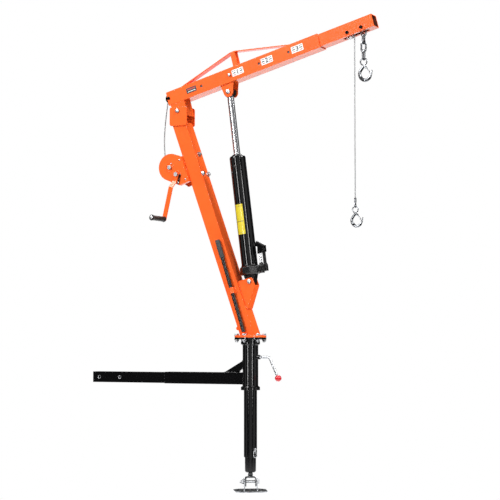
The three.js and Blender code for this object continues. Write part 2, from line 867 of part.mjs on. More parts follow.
// Mast: leaning square tube on its flange, pivot ears, handle saddle and heel lug
const makeMast = () => {
  const half = mastSide / 2;
  const inner = half - mastWall;
  const tube = cut(
    block(-half, half, -half, half, -mastSide, pivotRise),
    block(-inner, inner, -inner, inner, -mastSide - overrun, pivotRise + overrun),
  );
  const flangeLow = flangeTop - flangeThickness;
  const slab = (z0, z1) => block(-pivotRise, pivotRise, -mastSide, mastSide, z0, z1);
  const leaning = cut(
    framed(tube, mastFrame),
    slab(flangeTop + mastTop, flangeTop + 2 * pivotRise),
    slab(0, flangeTop - weldSink),
  );
  const flangeHoles = flangeBoltPlaces().map(([x, y]) => moved(
    boreZ(flangeBoltDiameter / 2 + seat, flangeLow - overrun, flangeTop + overrun, holeSides),
    x, y, 0,
  ));
  const flange = cut(
    rodZ(flangeDiameter / 2, flangeLow, flangeTop, roundSides),
    rodZ(postDiameter / 2 - postWall, flangeLow - overrun, flangeTop + overrun, roundSides),
    ...flangeHoles,
  );
  const earShape = softOutline([
    [pivot.x - earBehind, pivot.z - earBelow, earCorner], [pivot.x + earAhead, pivot.z - earBelow, earCorner],
    [pivot.x + earAhead, pivot.z + earAbove, earCorner], [pivot.x - earBehind, pivot.z + earAbove, earCorner],
  ]);
  const earInner = half - weldSink;
  const earOuter = half + earThickness;
  const ears = joined(
    plateXZ(earShape, -earOuter, -earInner, 5),
    plateXZ(earShape, earInner, earOuter, 5),
  );
  const pivotHole = moved(boreY(pivotDiameter / 2 + seat, -mastSide, mastSide), pivot.x, 0, pivot.z);
  const studHoles = winchStudPlaces().map(([y, rise]) =>
    framed(moved(boreX(studThread / 2 + seat, -mastSide, mastSide, holeSides), 0, y, rise), mastFrame));

  const saddle = framed(framed(makeSaddle(), handleFrame()), mastFrame);
  const lug = framed(
    moved(rodY(heelLugRadius, -half, heelLugThickness - half), -half, 0, heelLugRise),
    mastFrame,
  );
  const lugClear = framed(
    block(-inner, inner, -inner, inner, 0, 2 * heelLugRise),
    mastFrame,
  );
  put('mast_tube', 'orange', cut(
    joined(leaning, flange, ears, saddle, cut(lug, lugClear)),
    pivotHole,
    ...studHoles,
  ));

  const boltHead = hexHeight(pivotDiameter) / 2;
  const face = earOuter + seat;
  const bolt = joined(
    rodY(pivotDiameter / 2, -face - weldSink, face + weldSink),
    rodY(pivotHead / 2, -face - boltHead, -face),
    rodY(pivotHead / 2, face, face + boltHead),
  );
  put('pivot_bolt', 'zinc', moved(bolt, pivot.x, 0, pivot.z));
};

// The saddle that holds the stored handle: a band over the rod with two feet on the mast
const handleFrame = () => {
  const tilt = radians(handleTilt);
  const forward = handleForward + saddleRise * Math.tan(tilt);
  const frame = new THREE.Matrix4().makeRotationY(tilt);
  return frame.setPosition(forward, -mastSide / 2 - handleStandoff, saddleRise);
};
const makeSaddle = () => {
  const inner = handleDiameter / 2 + seat;
  const outer = inner + saddleThickness;
  const floor = handleStandoff + weldSink;
  const half = saddleLength / 2;
  const band = rodZ(outer, -half, half);
  const legs = block(-outer, outer, 0, floor, -half, half);
  const footFace = handleStandoff - saddleThickness;
  const feet = block(-outer - saddleFoot, outer + saddleFoot, footFace, floor, -half, half);
  const way = rodZ(inner, -half - overrun, half + overrun);
  const gap = block(-inner, inner, 0, handleStandoff - saddleThickness / 2, -half - overrun, half + overrun);
  return cut(joined(band, legs, feet), way, gap);
};

const makeHandle = () => {
  const frame = handleFrame();
  const low = handleStart - saddleRise;
  const high = low + handleLength;
  const gripLow = high - handleGripLength;
  const radius = handleDiameter / 2;
  const rod = turned([
    [radius - handleWall, low], [radius, low], [radius, high - handleWall], [0, high - handleWall],
    [0, high - 2 * handleWall], [radius - handleWall, high - 2 * handleWall],
  ], smallSides);
  put('handle_rod', 'black', framed(rod, frame), inMast);
  const grip = turned([
    [radius + seat, gripLow], [handleGripDiameter / 2, gripLow],
    [handleGripDiameter / 2, high + handleWall - weldSink],
    [handleGripDiameter / 2 - weldSink, high + handleWall], [0, high + handleWall],
    [0, high + seat - handleWall], [radius + seat, high + seat - handleWall],
  ], smallSides);
  put('handle_grip', 'rubber', framed(grip, frame), inMast);
};

// The folded bracket in front of the mast that carries the foot of the jack
const makeJackBracket = () => {
  const face = mastSide / 2 + seat;
  const half = bracketWidth / 2;
  const cheek = softOutline([
    [face, bracketToe], [bracketToeForward, bracketToe], [bracketFront, bracketShoulder, bracketCorner / 2],
    [bracketFront, bracketTop - bracketTopDrop, bracketCorner], [face, bracketTop],
  ]);
  const web = outline([
    [face, bracketToe], [bracketToeForward, bracketToe], [bracketFront, bracketShoulder],
    [bracketFront - bracketWall, bracketShoulder + bracketWall],
    [bracketToeForward - bracketWall / 2, bracketToe + bracketWall], [face, bracketToe + bracketWall],
  ]);
  const pinHole = moved(
    boreY(jackPinDiameter / 2 + seat, -bracketWidth, bracketWidth),
    jackPinForward, 0, jackPinRise,
  );
  const body = joined(
    plateXZ(cheek, -half, -half + bracketWall, 5),
    plateXZ(cheek, half - bracketWall, half, 5),
    plateXZ(web, -half + weldSink, half - weldSink),
  );
  put('jack_bracket', 'orange', cut(body, pinHole), inMast);

  const pinFace = half + seat;
  const headHeight = jackPinHead / 4;
  const pin = joined(
    rodY(jackPinDiameter / 2, -pinFace - weldSink, pinFace + weldSink),
    rodY(jackPinHead / 2, -pinFace - headHeight, -pinFace),
    rodY(jackPinHead / 2, pinFace, pinFace + headHeight / 2),
  );
  put('jack_lower_pin', 'zinc', moved(pin, jackPinForward, 0, jackPinRise), inMast);
};

// Jack casting: foot eye, octagonal body, pump barrel and fulcrum; then cylinder, rod, pump and valve
const makeJack = () => {
  const pinClear = jackPinDiameter / 2 + seat;
  const eye = new THREE.Shape();
  eye.moveTo(-footEyeRoot, footEyeTop + weldSink);
  eye.lineTo(-footEyeRadius, 0);
  eye.absarc(0, 0, footEyeRadius, Math.PI, 2 * Math.PI, false);
  eye.lineTo(footEyeRoot, footEyeTop + weldSink);
  eye.closePath();
  const foot = cut(
    plateXZ(eye, -footEyeWidth / 2, footEyeWidth / 2, 10),
    boreY(pinClear, -footEyeWidth, footEyeWidth),
  );
  const octagon = castingRadius;
  const castingHalfStep = Math.PI / castingSides;
  const casting = turned([
    [0, castingBottom], [octagon - castingChamfer, castingBottom], [octagon, castingBottom + castingChamfer],
    [octagon, castingTop - castingChamfer], [octagon - castingChamfer, castingTop], [0, castingTop],
  ], castingSides).rotate([0, 0, THREE.MathUtils.radToDeg(castingHalfStep)]);
  const barrel = moved(joined(
    rodZ(pumpRadius, castingBottom, castingTop),
    rodZ(pumpRadius - barWall, castingTop - weldSink, pumpTop),
  ), pumpForward, 0, 0);
  const bridge = block(0, fulcrumForward, -pumpRadius, pumpRadius, castingBottom + castingChamfer,
    castingTop - castingChamfer);
  const postHalf = fulcrumThickness / 2;
  const fulcrumShape = new THREE.Shape();
  fulcrumShape.moveTo(fulcrumForward - postHalf, castingBottom + castingChamfer);
  fulcrumShape.lineTo(fulcrumForward + fulcrumThickness, castingBottom + castingChamfer);
  fulcrumShape.lineTo(fulcrumForward + fulcrumThickness, castingTop - castingChamfer);
  fulcrumShape.lineTo(fulcrumForward + postHalf, castingTop + castingChamfer);
  fulcrumShape.lineTo(fulcrumForward + postHalf, fulcrumRise);
  fulcrumShape.absarc(fulcrumForward, fulcrumRise, postHalf, 0, Math.PI, false);
  fulcrumShape.closePath();
  const fulcrum = plateXZ(fulcrumShape, -fulcrumWidth / 2, fulcrumWidth / 2, 6);
  const plungerBore = moved(
    boreZ(plungerDiameter / 2 + seat, plungerBottom - leverPin, pumpTop + overrun),
    pumpForward, 0, 0,
  );
  const fulcrumHole = moved(
    boreY(leverPin / 2 + seat, -fulcrumWidth, fulcrumWidth, holeSides),
    fulcrumForward, 0, fulcrumRise,
  );
  const flat = castingRadius * Math.cos(castingHalfStep);
  const valveWay = boreY(valveStem / 2 + seat, flat - valveDepth - seat, castingRadius + overrun);
  const valveBore = moved(valveWay, 0, 0, valveRise);
  put('jack_base', 'black', cut(
    joined(foot, casting, barrel, bridge, fulcrum),
    plungerBore, fulcrumHole, valveBore,
  ), inJack);

  const outer = cylinderDiameter / 2;
  const bore = rodDiameter / 2 + seat;
  const inside = outer - cylinderWall;
  const capLow = cylinderTop - cylinderCap;
  const pressureTop = capLow - reservoirGap;
  const cylinder = turned([
    [0, castingTop + seat], [outer, castingTop + seat], [outer, cylinderTop - cylinderChamfer],
    [outer - cylinderChamfer, cylinderTop], [glandDiameter / 2, cylinderTop],
    [glandDiameter / 2, cylinderTop + glandHeight], [bore, cylinderTop + glandHeight],
    [bore, capLow], [inside, capLow], [inside, castingTop + cylinderFloor],
    [bore + pressureWall, castingTop + cylinderFloor], [bore + pressureWall, pressureTop],
    [bore, pressureTop], [bore, castingTop + pressureFloor], [0, castingTop + pressureFloor],
  ]);
  put('jack_cylinder', 'black', cylinder, inJack);

  const eyeHole = ramPinDiameter / 2 + eyePlay;
  const eyeBody = joined(
    moved(rodY(eyeRadius, -eyeWidth / 2, eyeWidth / 2, roundSides), 0, 0, eyeDistance),
    rodZ(rodDiameter / 2 + overrun / 2, rodTop - weldSink, eyeDistance - eyeRadius / 2, roundSides),
  );
  const rod = joined(rodZ(rodDiameter / 2, rodBottom, rodTop, roundSides), eyeBody);
  put('jack_rod', 'chrome', cut(
    rod,
    moved(boreY(eyeHole, -eyeWidth, eyeWidth, roundSides), 0, 0, eyeDistance),
  ), inJack);

  makePump();

  const stem = joined(
    rodY(valveStem / 2, flat - valveDepth, flat + seat + weldSink),
    rodY(valveHead / 2, flat + seat, flat + seat + valveLength),
  );
  const slot = block(-valveHead, valveHead, flat + valveLength - valveSlot, flat + 2 * valveLength,
    -valveSlot / 2, valveSlot / 2);
  put('release_valve', 'black', moved(cut(stem, slot), 0, 0, valveRise), inJack);
};

// Pump lever socket on its fulcrum, and the plunger with a slotted head for the lever pin
const makePump = () => {
  const cheekInner = plungerHeadWidth / 2 + slideGap;
  const cheekOuter = cheekInner + cheekThickness;
  const cheekShape = softOutline([
    [pumpForward - cheekRadius, plungerPinRise - cheekRadius, cheekRadius / 2],
    [fulcrumForward + cheekRadius, fulcrumRise - cheekRadius, cheekRadius / 2],
    [fulcrumForward + cheekRadius, socketRise, cheekRadius / 2],
    [pumpForward - cheekRadius / 2, socketRise + cheekRadius, cheekRadius / 2],
  ]);
  const tilt = new THREE.Matrix4().makeRotationY(radians(socketTilt));
  tilt.setPosition(socketForward, 0, socketRise + cheekRadius / 2);
  const barrel = framed(rodX(socketDiameter / 2, -socketLength / 2, socketLength / 2), tilt);
  const bore = framed(
    rodX(socketBore / 2, -socketLength / 2 + cheekThickness, socketLength),
    tilt,
  );
  const pin = rodY(leverPin / 2, -cheekOuter - weldSink, cheekOuter + weldSink, holeSides);
  const pinAt = (x, z) => moved(pin, x, 0, z);
  const slotRoom = block(
    pumpForward - cheekRadius - overrun, fulcrumForward + cheekRadius + overrun,
    -cheekInner, cheekInner,
    plungerPinRise - cheekRadius - overrun, fulcrumRise + fulcrumThickness / 2 + slideGap,
  );
  const lever = joined(
    cut(joined(barrel, plateXZ(cheekShape, -cheekOuter, cheekOuter, 4)), slotRoom, bore),
    pinAt(pumpForward, plungerPinRise),
    pinAt(fulcrumForward, fulcrumRise),
  );
  put('pump_socket', 'black', lever, inJack);

  const slotHalf = leverPin / 2 + seat;
  const headHalf = slotHalf + plungerHeadWall;
  const headReach = plungerHeadLength / 2;
  const slotReach = plungerSlotLength / 2;
  const head = block(pumpForward - headReach, pumpForward + headReach, -plungerHeadWidth / 2,
    plungerHeadWidth / 2, plungerPinRise - headHalf, plungerPinRise + headHalf);
  const slot = block(pumpForward - slotReach, pumpForward + slotReach,
    -plungerHeadWidth, plungerHeadWidth, plungerPinRise - slotHalf, plungerPinRise + slotHalf);
  const plunger = joined(
    moved(rodZ(plungerDiameter / 2, plungerBottom, plungerPinRise - headHalf + weldSink), pumpForward, 0, 0),
    cut(head, slot),
  );
  put('pump_plunger', 'chrome', plunger, inJack);
};

// Outer boom with its pivot bracket and ram ears, the brace on top, pins and the rear roller
const makeBoom = () => {
  const half = boomSide / 2;
  const inner = half - boomWall;
  const low = boomRise - half;
  const tube = cut(
    block(-boomRear, boomFront, -half, half, low, boomRise + half),
    block(-boomRear - overrun, boomFront + overrun, -inner, inner, boomRise - inner, boomRise + inner),
  );
  const bossShape = softOutline([
    [-bossBehind, low + weldSink], [-bossBehind, -bossBelow, bossCorner],
    [bossAhead, -bossBelow], [bossAhead, low + weldSink],
  ]);
  const bossEnd = half - weldSink;
  const bossFront = block(bossAhead - bossWall, bossAhead, -bossEnd, bossEnd, -bossBelow, low + weldSink);
  const boss = joined(
    plateXZ(bossShape, -half, -half + bossWall, 4),
    plateXZ(bossShape, half - bossWall, half, 4),
    bossFront,
  );
  const ramShape = new THREE.Shape();
  ramShape.moveTo(ramPinForward - ramEarRootBehind, low + weldSink);
  ramShape.lineTo(ramPinForward - ramEarRadius, ramPinRise);
  ramShape.absarc(ramPinForward, ramPinRise, ramEarRadius, Math.PI, 2 * Math.PI, false);
  ramShape.lineTo(ramPinForward + ramEarRootAhead, low + weldSink);
  ramShape.closePath();
  const earHalf = ramEarWidth / 2;
  const ramEars = joined(
    plateXZ(ramShape, -earHalf, -earHalf + ramEarWall, 8),
    plateXZ(ramShape, earHalf - ramEarWall, earHalf, 8),
  );
  const sideHole = (radius, u, w, sides = smallSides) =>
    moved(boreY(radius, -boomSide, boomSide, sides), u, 0, w);
  const holes = [];
  for (let i = 0; i < lockHoleCount; i += 1) {
    holes.push(sideHole(lockPinHole / 2, lockHoleFirst + i * lockHolePitch, boomRise, holeSides));
  }
  put('boom_outer', 'orange', cut(
    joined(tube, boss, ramEars),
    ...holes,
    sideHole(rollerAxle / 2 + seat, -rollerBehind, rollerRise, holeSides),
    sideHole(pivotDiameter / 2 + seat, 0, 0),
    sideHole(ramPinDiameter / 2 + seat, ramPinForward, ramPinRise),
  ), inBoom);

  const roof = boomRise + half + seat;
  const peak = roof + braceTop;
  const postEnd = bracePostStart + bracePostLength;
  const strap = outline([
    [braceRearFoot, roof], [braceRearFoot + braceFootLength, roof], [bracePostStart, peak - braceStrap],
    [postEnd, peak - braceStrap], [braceFrontFoot - braceFootLength, roof], [braceFrontFoot, roof],
    [postEnd, peak], [bracePostStart, peak],
  ]);
  const brace = joined(
    plateXZ(strap, -braceWidth / 2, braceWidth / 2),
    block(bracePostStart, postEnd, -braceWidth / 2, braceWidth / 2, roof, peak - weldSink),
  );
  put('boom_brace', 'orange', brace, inBoom);

  const ramFace = earHalf + seat;
  const ramPin = joined(
    rodY(ramPinDiameter / 2, -ramFace - weldSink, ramFace + weldSink),
    rodY(ramPinHead / 2, -ramFace - ramPinHead / 4, -ramFace),
    rodY(ramPinHead / 2, ramFace, ramFace + ramPinHead / 6),
  );
  put('ram_pin', 'zinc', moved(ramPin, ramPinForward, 0, ramPinRise), inBoom);

  const pinStart = -half - seat;
  const lockPin = joined(
    rodY(lockPinDiameter / 2, pinStart - weldSink, -innerSide / 2 - seat),
    rodY(lockPinHead / 2, pinStart - lockPinGrip, pinStart),
  );
  put('boom_lock_pin', 'zinc', moved(lockPin, lockHoleFirst + lockHolePitch, 0, boomRise), inBoom);

  const headFace = half + seat;
  const headEnd = headFace + rollerAxle / 3;
  const roller = turned([
    [0, -headEnd], [rollerAxleHead / 2, -headEnd], [rollerAxleHead / 2, -headFace],
    [rollerAxle / 2, -headFace], [rollerAxle / 2, -rollerWidth / 2], [rollerRadius, -rollerWidth / 2],
    [rollerGroove, -ropeDiameter], [rollerGroove, ropeDiameter], [rollerRadius, rollerWidth / 2],
    [rollerAxle / 2, rollerWidth / 2], [rollerAxle / 2, headFace], [rollerAxleHead / 2, headFace],
    [rollerAxleHead / 2, headEnd], [0, headEnd],
  ], pulleySides).rotate([90, 0, 0]);
  put('rear_roller', 'black', moved(roller, -rollerBehind, 0, rollerRise), inBoom);
};

// Inner boom with its slotted underside, head pulley and the two head bolts
const makeInnerBoom = () => {
  const half = innerSide / 2;
  const inner = half - innerWall;
  const sideHole = (radius, u, w) => moved(boreY(radius, -innerSide, innerSide), u, 0, w);
  const pinPlace = lockHoleFirst + lockHolePitch;
  const slotHalf = innerSlotWidth / 2;
  put('boom_inner', 'orange', cut(
    block(innerRear, innerFront, -half, half, boomRise - half, boomRise + half),
    block(innerRear - overrun, innerFront + overrun, -inner, inner, boomRise - inner, boomRise + inner),
    block(innerSlotStart, innerSlotEnd, -slotHalf, slotHalf, boomRise - boomSide, boomRise),
    sideHole(lockPinHole / 2, pinPlace, boomRise),
    sideHole(pulleyBolt / 2 + seat, pulleyForward, pulleyRise),
    sideHole(pulleyBolt / 2 + seat, chainBoltForward, pulleyRise),
  ), inBoom);

  const pulleyHalf = pulleyWidth / 2;
  const pulley = turned([
    [pulleyBolt / 2 + seat, -pulleyHalf], [pulleyRadius, -pulleyHalf],
    [pulleyGroove + ropeRadius, -ropeRadius - seat], [pulleyGroove, -ropeRadius / 2],
    [pulleyGroove, ropeRadius / 2], [pulleyGroove + ropeRadius, ropeRadius + seat],
    [pulleyRadius, pulleyHalf], [pulleyBolt / 2 + seat, pulleyHalf],
  ], pulleySides).rotate([90, 0, 0]);
  put('front_pulley', 'zinc', moved(pulley, pulleyForward, 0, pulleyRise), inBoom);

  const face = half + seat;
  const headBolt = () => joined(
    rodY(pulleyBolt / 2, -face - weldSink, face + weldSink),
    rodY(headBoltDiameter / 2, -face - headBoltHeight, -face),
    rodY(headBoltDiameter / 2, face, face + headBoltHeight),
  );
  put('pulley_bolt', 'black', moved(headBolt(), pulleyForward, 0, pulleyRise), inBoom);
  put('chain_bolt', 'black', moved(headBolt(), chainBoltForward, 0, pulleyRise), inBoom);
};

// A chain link: round wire bent into a long loop, flat in the plane whose normal is given
const linkSolid = (across) => {
  const endRadius = (linkInnerWidth + linkWire) / 2;
  const straight = (linkInnerLength - linkInnerWidth) / 2;
  const normal = new THREE.Vector3(0, 0, 1).cross(across);
  const rings = [];
  for (let end = 0; end < 2; end += 1) {
    for (let i = 0; i <= linkEndSteps; i += 1) {
      const angle = Math.PI * (end + i / linkEndSteps);
      const centre = across.clone().multiplyScalar(endRadius * Math.cos(angle));
      centre.z = endRadius * Math.sin(angle) + (end === 0 ? straight : -straight);
      const direction = across.clone().multiplyScalar(-Math.sin(angle));
      direction.z = Math.cos(angle);
      rings.push(ringRound(centre, direction, normal, linkWire / 2, ropeSides));
    }
  }
  return solidOf(skinned(rings, true));
};

const makeHook = (name, finish, size, eyeCentre) => {
  const spine = new THREE.CatmullRomCurve3(
    hookSpineShares.map(([x, z]) => new THREE.Vector3(x * size, 0, z * size)),
  );
  const plane = new THREE.Vector3(0, 1, 0);
  const rings = [];
  for (let i = 0; i <= hookSteps; i += 1) {
    const t = i / hookSteps;
    const at = t * (hookSpineShares.length - 1);
    const index = Math.min(Math.floor(at), hookSpineShares.length - 2);
    const [, , from] = hookSpineShares[index];
    const [, , to] = hookSpineShares[index + 1];
    const thick = THREE.MathUtils.lerp(from, to, at - index);
    rings.push(ringRound(spine.getPoint(t), spine.getTangent(t), plane, thick * size, ropeSides));
  }
  const lugX = hookLugAcrossShare * size;
  const lugZ = hookLugHeightShare * size;
  const lugHalf = hookLugHalfShare * size;
  const pinRadius = latchPinShare * size;
  const eyeProfile = circleProfile(hookEyeShare * size, hookWireShare * size);
  const eye = turned(eyeProfile, smallSides).rotate([90, 0, 0]);
  const lug = joined(
    moved(rodY(hookLugRadiusShare * size, -lugHalf, lugHalf), lugX, 0, lugZ),
    block(0, lugX, -lugHalf, lugHalf, lugZ - lugHalf, lugZ + lugHalf),
  );
  const hole = moved(boreY(pinRadius + seat / 2, -size, size, holeSides), lugX, 0, lugZ);
  const body = cut(joined(solidOf(skinned(rings, false)), eye, lug), hole);
  put(name, finish, moved(body, eyeCentre.x, 0, eyeCentre.z));

  const cheekInner = lugHalf + latchGapShare * size;
  const cheekOuter = cheekInner + latchCheekShare * size;
  const [elbow, middle, tip] = latchPointShares.map(([x, z]) => [x * size, z * size]);
  const strap = latchStrapShare * size;
  const strip = outline([
    elbow, middle, tip, [tip[0] - strap, tip[1]], [middle[0] - strap, middle[1] - strap],
    [elbow[0] - strap, elbow[1] - strap],
  ]);
  const cheekRadius = hookLugRadiusShare * size;
  const cheekShape = softOutline([
    [lugX - cheekRadius, lugZ + cheekRadius, cheekRadius],
    [lugX + cheekRadius, lugZ + cheekRadius, cheekRadius],
    [elbow[0] + strap / 2, elbow[1]], [elbow[0] - strap / 2, elbow[1] - strap],
    [lugX - cheekRadius, lugZ - cheekRadius, cheekRadius],
  ]);
  const latch = joined(
    plateXZ(strip, -cheekOuter, cheekOuter),
    plateXZ(cheekShape, -cheekOuter, -cheekInner, 4),
    plateXZ(cheekShape, cheekInner, cheekOuter, 4),
    moved(rodY(pinRadius, -cheekOuter, cheekOuter, holeSides), lugX, 0, lugZ),
  );
  put(`${name}_latch`, 'zinc', moved(latch, eyeCentre.x, 0, eyeCentre.z));
};

// The round section of a ring, as a profile to turn
const circleProfile = (radius, wire) => {
  const profile = [];
  for (let i = 0; i < ropeSides; i += 1) {
    const angle = (2 * Math.PI * i) / ropeSides;
    profile.push([radius + wire * Math.cos(angle), wire * Math.sin(angle)]);
  }
  return profile;
};

const makeChain = () => {
  const alongX = new THREE.Vector3(1, 0, 0);
  const alongY = new THREE.Vector3(0, 1, 0);
  let centre = chainBoltPlace.z + pulleyBolt / 2 + seat - linkInnerLength / 2;
  for (let i = 0; i < linkCount; i += 1) {
    const link = linkSolid(i % 2 === 0 ? alongX : alongY);
    put(`chain_link_${i + 1}`, 'zinc', moved(link, chainBoltPlace.x, 0, centre));
    centre += seat - linkInnerLength;
  }
  const lastInnerLow = centre + linkInnerLength / 2;
  const eyeInner = (hookEyeShare - hookWireShare) * chainHookSize;
  const eyeCentre = { x: chainBoltPlace.x, z: lastInnerLow - eyeInner };
  makeHook('chain_hook', 'zinc', chainHookSize, eyeCentre);
};

// Winch: frame on the mast, drum with its gear, rope turns, cover, crank shaft, pawl and crank
const winchStudPlaces = () => [[0, studRiseHigh], [-studSpread, studRiseLow], [studSpread, studRiseLow]];

// Side outline of the winch: round behind the drum, straight to the mast, drawn in by an inset
const winchOutline = (radius, inset) => {
  const centreX = -drumBehind + coverCentreShift;
  const right = -mastSide / 2 - seat - inset;
  const toe = new THREE.Vector2(-coverToeBehind, coverToe + inset);
  const centre = new THREE.Vector2(centreX, drumRise);
  const reach = toe.clone().sub(centre);
  const toeAngle = Math.atan2(reach.y, reach.x) - Math.acos(radius / reach.length());
  const shoulder = new THREE.Vector2(right, coverShoulder - inset).sub(centre);
  const shoulderAngle = Math.atan2(shoulder.y, shoulder.x) + Math.acos(radius / shoulder.length());
  const shape = new THREE.Shape();
  shape.moveTo(right, coverShoulder - inset);
  shape.lineTo(centreX + radius * Math.cos(shoulderAngle), drumRise + radius * Math.sin(shoulderAngle));
  shape.absarc(centreX, drumRise, radius, shoulderAngle, toeAngle + 2 * Math.PI, false);
  shape.lineTo(toe.x, toe.y);
  shape.lineTo(right, toe.y);
  shape.closePath();
  return shape;
};

const makeWinchFrame = () => {
  const half = winchWidth / 2;
  const face = -mastSide / 2 - seat;
  const plateShape = winchOutline(framePlateRadius, 0);
  const near = plateXZ(plateShape, -half, -half + winchWall, 10);
  const far = plateXZ(plateShape, half - winchWall, half, 10);
  const base = block(face - winchWall, face, -half, half, winchBottom, winchTop - studThread);
  const studs = winchStudPlaces().map(([y, rise]) => moved(joined(
    rodX(studThread / 2, face - winchWall / 2, mastSide / 2 + seat + studNutHeight, holeSides),
    hexZ(studThread, 0, studNutHeight).rotate([0, 90, 0]).translate([mastSide / 2 + seat, 0, 0]),
  ), 0, y, rise));
  const sideHole = (radius, x, z) => moved(boreY(radius, -winchWidth, winchWidth), x, 0, z);
  const hubHole = moved(boreY(drumHub + slideGap, -winchWidth, 0), -drumBehind, 0, drumRise);
  put('winch_frame', 'orange', cut(
    joined(near, far, base, ...studs),
    hubHole,
    sideHole(axleDiameter / 2 + seat, -drumBehind, drumRise),
    sideHole(crankShaftDiameter / 2 + seat, -crankBehind, crankRise),
  ), inMast);

  const coverBack = -half - seat;
  const coverFront = coverBack - coverDepth;
  const insideShape = winchOutline(coverRadius - coverWall, coverWall);
  const shell = cut(
    plateXZ(winchOutline(coverRadius, 0), coverFront, coverBack, 18),
    plateXZ(insideShape, coverFront + coverWall, coverBack + overrun, 18),
    moved(boreY(axleDiameter / 2 + seat, -winchWidth, 0), -drumBehind, 0, drumRise),
    moved(boreY(crankShaftDiameter / 2 + runningGap, -winchWidth, 0), -crankBehind, 0, crankRise),
  );
  const pawlStud = moved(
    rodY(pawlPin / 2, coverFront - ratchetWidth - slideGap, coverFront + weldSink, holeSides),
    -pawlBehind, 0, pawlRise,
  );
  put('gear_cover', 'orange', joined(shell, pawlStud), inMast);

  const nut = hexHeight(axleDiameter);
  const nearFace = coverFront - seat;
  const farFace = half + seat;
  const upright = (solid) => solid.rotate([90, 0, 0]);
  const axle = joined(
    rodY(axleDiameter / 2, nearFace - nut - weldSink, farFace + weldSink),
    upright(hexZ(axleDiameter, -nearFace, -nearFace + nut)),
    upright(hexZ(axleDiameter, -farFace - nut, -farFace)),
  );
  put('winch_axle', 'zinc', moved(axle, -drumBehind, 0, drumRise), inMast);
};

// Gear outline: tapered teeth round the pitch circle
const gearOutline = (teeth, module, phase) => {
  const pitch = (teeth * module) / 2;
  const rings = [
    [pitch - dedendumShare * module, toothRootShare],
    [pitch + addendumShare * module, toothTipShare],
  ];
  const points = [];
  const step = (2 * Math.PI) / teeth;
  for (let i = 0; i < teeth; i += 1) {
    const middle = phase + i * step;
    const flank = rings.map(([radius, share]) => [radius, middle - share * step]);
    const back = rings.map(([radius, share]) => [radius, middle + share * step]).reverse();
    [...flank, ...back].forEach(([radius, angle]) => {
      points.push([radius * Math.cos(angle), radius * Math.sin(angle)]);
    });
  }
  return outline(points);
};

const gearReach = new THREE.Vector2(drumBehind - crankBehind, crankRise - drumRise);
const gearModule = (2 * gearReach.length()) / (gearTeeth + pinionTeeth);

const makeDrum = () => {
  const plateGap = runningGap + seat;
  const half = winchWidth / 2 - winchWall - plateGap;
  const gearBack = -winchWidth / 2 - seat - plateGap;
  const gearFront = gearBack - gearWidth;
  const bore = drumBore / 2;
  const drum = turned([
    [bore, -half], [drumFlange, -half],
    [drumFlange, drumFlangeWall - half], [drumBarrel, drumFlangeWall - half],
    [drumBarrel, half - drumFlangeWall], [drumFlange, half - drumFlangeWall],
    [drumFlange, half], [bore, half],
  ]).rotate([-90, 0, 0]);
  const hub = cut(rodY(drumHub, gearBack - weldSink, weldSink - half), rodY(bore, -winchWidth, 0));
  const towardPinion = Math.atan2(gearReach.y, gearReach.x);
  const gearShape = gearOutline(gearTeeth, gearModule, towardPinion + Math.PI / gearTeeth);
  const lightening = [];
  const ringRadius = (drumHub + (gearTeeth * gearModule) / 2) / 2;
  for (let i = 0; i < gearHoleCount; i += 1) {
    const angle = (2 * Math.PI * i) / gearHoleCount;
    lightening.push(moved(
      rodY(gearHoleRadius, -winchWidth, 0, holeSides),
      ringRadius * Math.cos(angle), 0, ringRadius * Math.sin(angle),
    ));
  }
  const gear = cut(plateXZ(gearShape, gearFront, gearBack), rodY(bore, -winchWidth, 0), ...lightening);
  put('winch_drum', 'zinc', moved(joined(drum, hub, gear), -drumBehind, 0, drumRise), inMast);
};

// Where the rope leaves the drum and meets the roller: slack turns both a little off the straight tangent
const ropeRunAngles = () => {
  const drum = new THREE.Vector3(-drumBehind, 0, drumRise).applyMatrix4(mastFrame);
  const roller = new THREE.Vector3(-rollerBehind, 0, rollerRise).applyMatrix4(boomFrame);
  const between = roller.clone().sub(drum);
  const length = Math.hypot(between.x, between.z);
  const slope = Math.atan2(between.z, between.x);
  const angle = slope + Math.acos((drumRopeRadius - rollerRopeRadius) / length);
  return { drum, roller, leave: angle + radians(slackAtDrum), meet: angle - radians(slackAtRoller) };
};

// Rope turns: one unbroken tube that winds over the barrel and leaves it where the rope run starts
const makeWinding = () => {
  const leave = ropeRunAngles().leave - radians(mastLean);
  const total = windingTurns * 2 * Math.PI;
  const steps = Math.round(windingTurns * coilSteps);
  const centres = [];
  for (let i = 0; i <= steps; i += 1) {
    const turn = (total * (steps - i)) / steps;
    const at = leave + turn;
    centres.push(new THREE.Vector3(
      drumRopeRadius * Math.cos(at),
      (-windingPitch * turn) / (2 * Math.PI),
      drumRopeRadius * Math.sin(at),
    ));
  }
  const exit = new THREE.Vector3(Math.sin(leave), 0, -Math.cos(leave));
  const entry = new THREE.Vector3(-Math.sin(leave + total), 0, Math.cos(leave + total));
  centres.push(centres[steps].clone().addScaledVector(exit, ropeDiameter));
  centres.unshift(centres[0].clone().addScaledVector(entry, ropeDiameter));
  const normal = new THREE.Vector3(0, 1, 0);
  const rings = centres.map((centre, i) => {
    const from = centres[Math.max(i - 1, 0)];
    const to = centres[Math.min(i + 1, centres.length - 1)];
    const direction = to.clone().sub(from).setY(0).normalize();
    return ringRound(centre, direction, normal, ropeRadius, coilSides);
  });
  const winding = solidOf(skinned(rings, false));
  put('drum_winding', 'rope', moved(winding, -drumBehind, 0, drumRise), inMast);
  let least = Infinity;
  centres.forEach((a, i) => centres.forEach((b, j) => {
    if (j - i > coilSteps / 2) least = Math.min(least, a.distanceTo(b) - ropeDiameter);
  }));
  console.log(`least gap between rope turns: ${least.toFixed(2)} mm`);
};

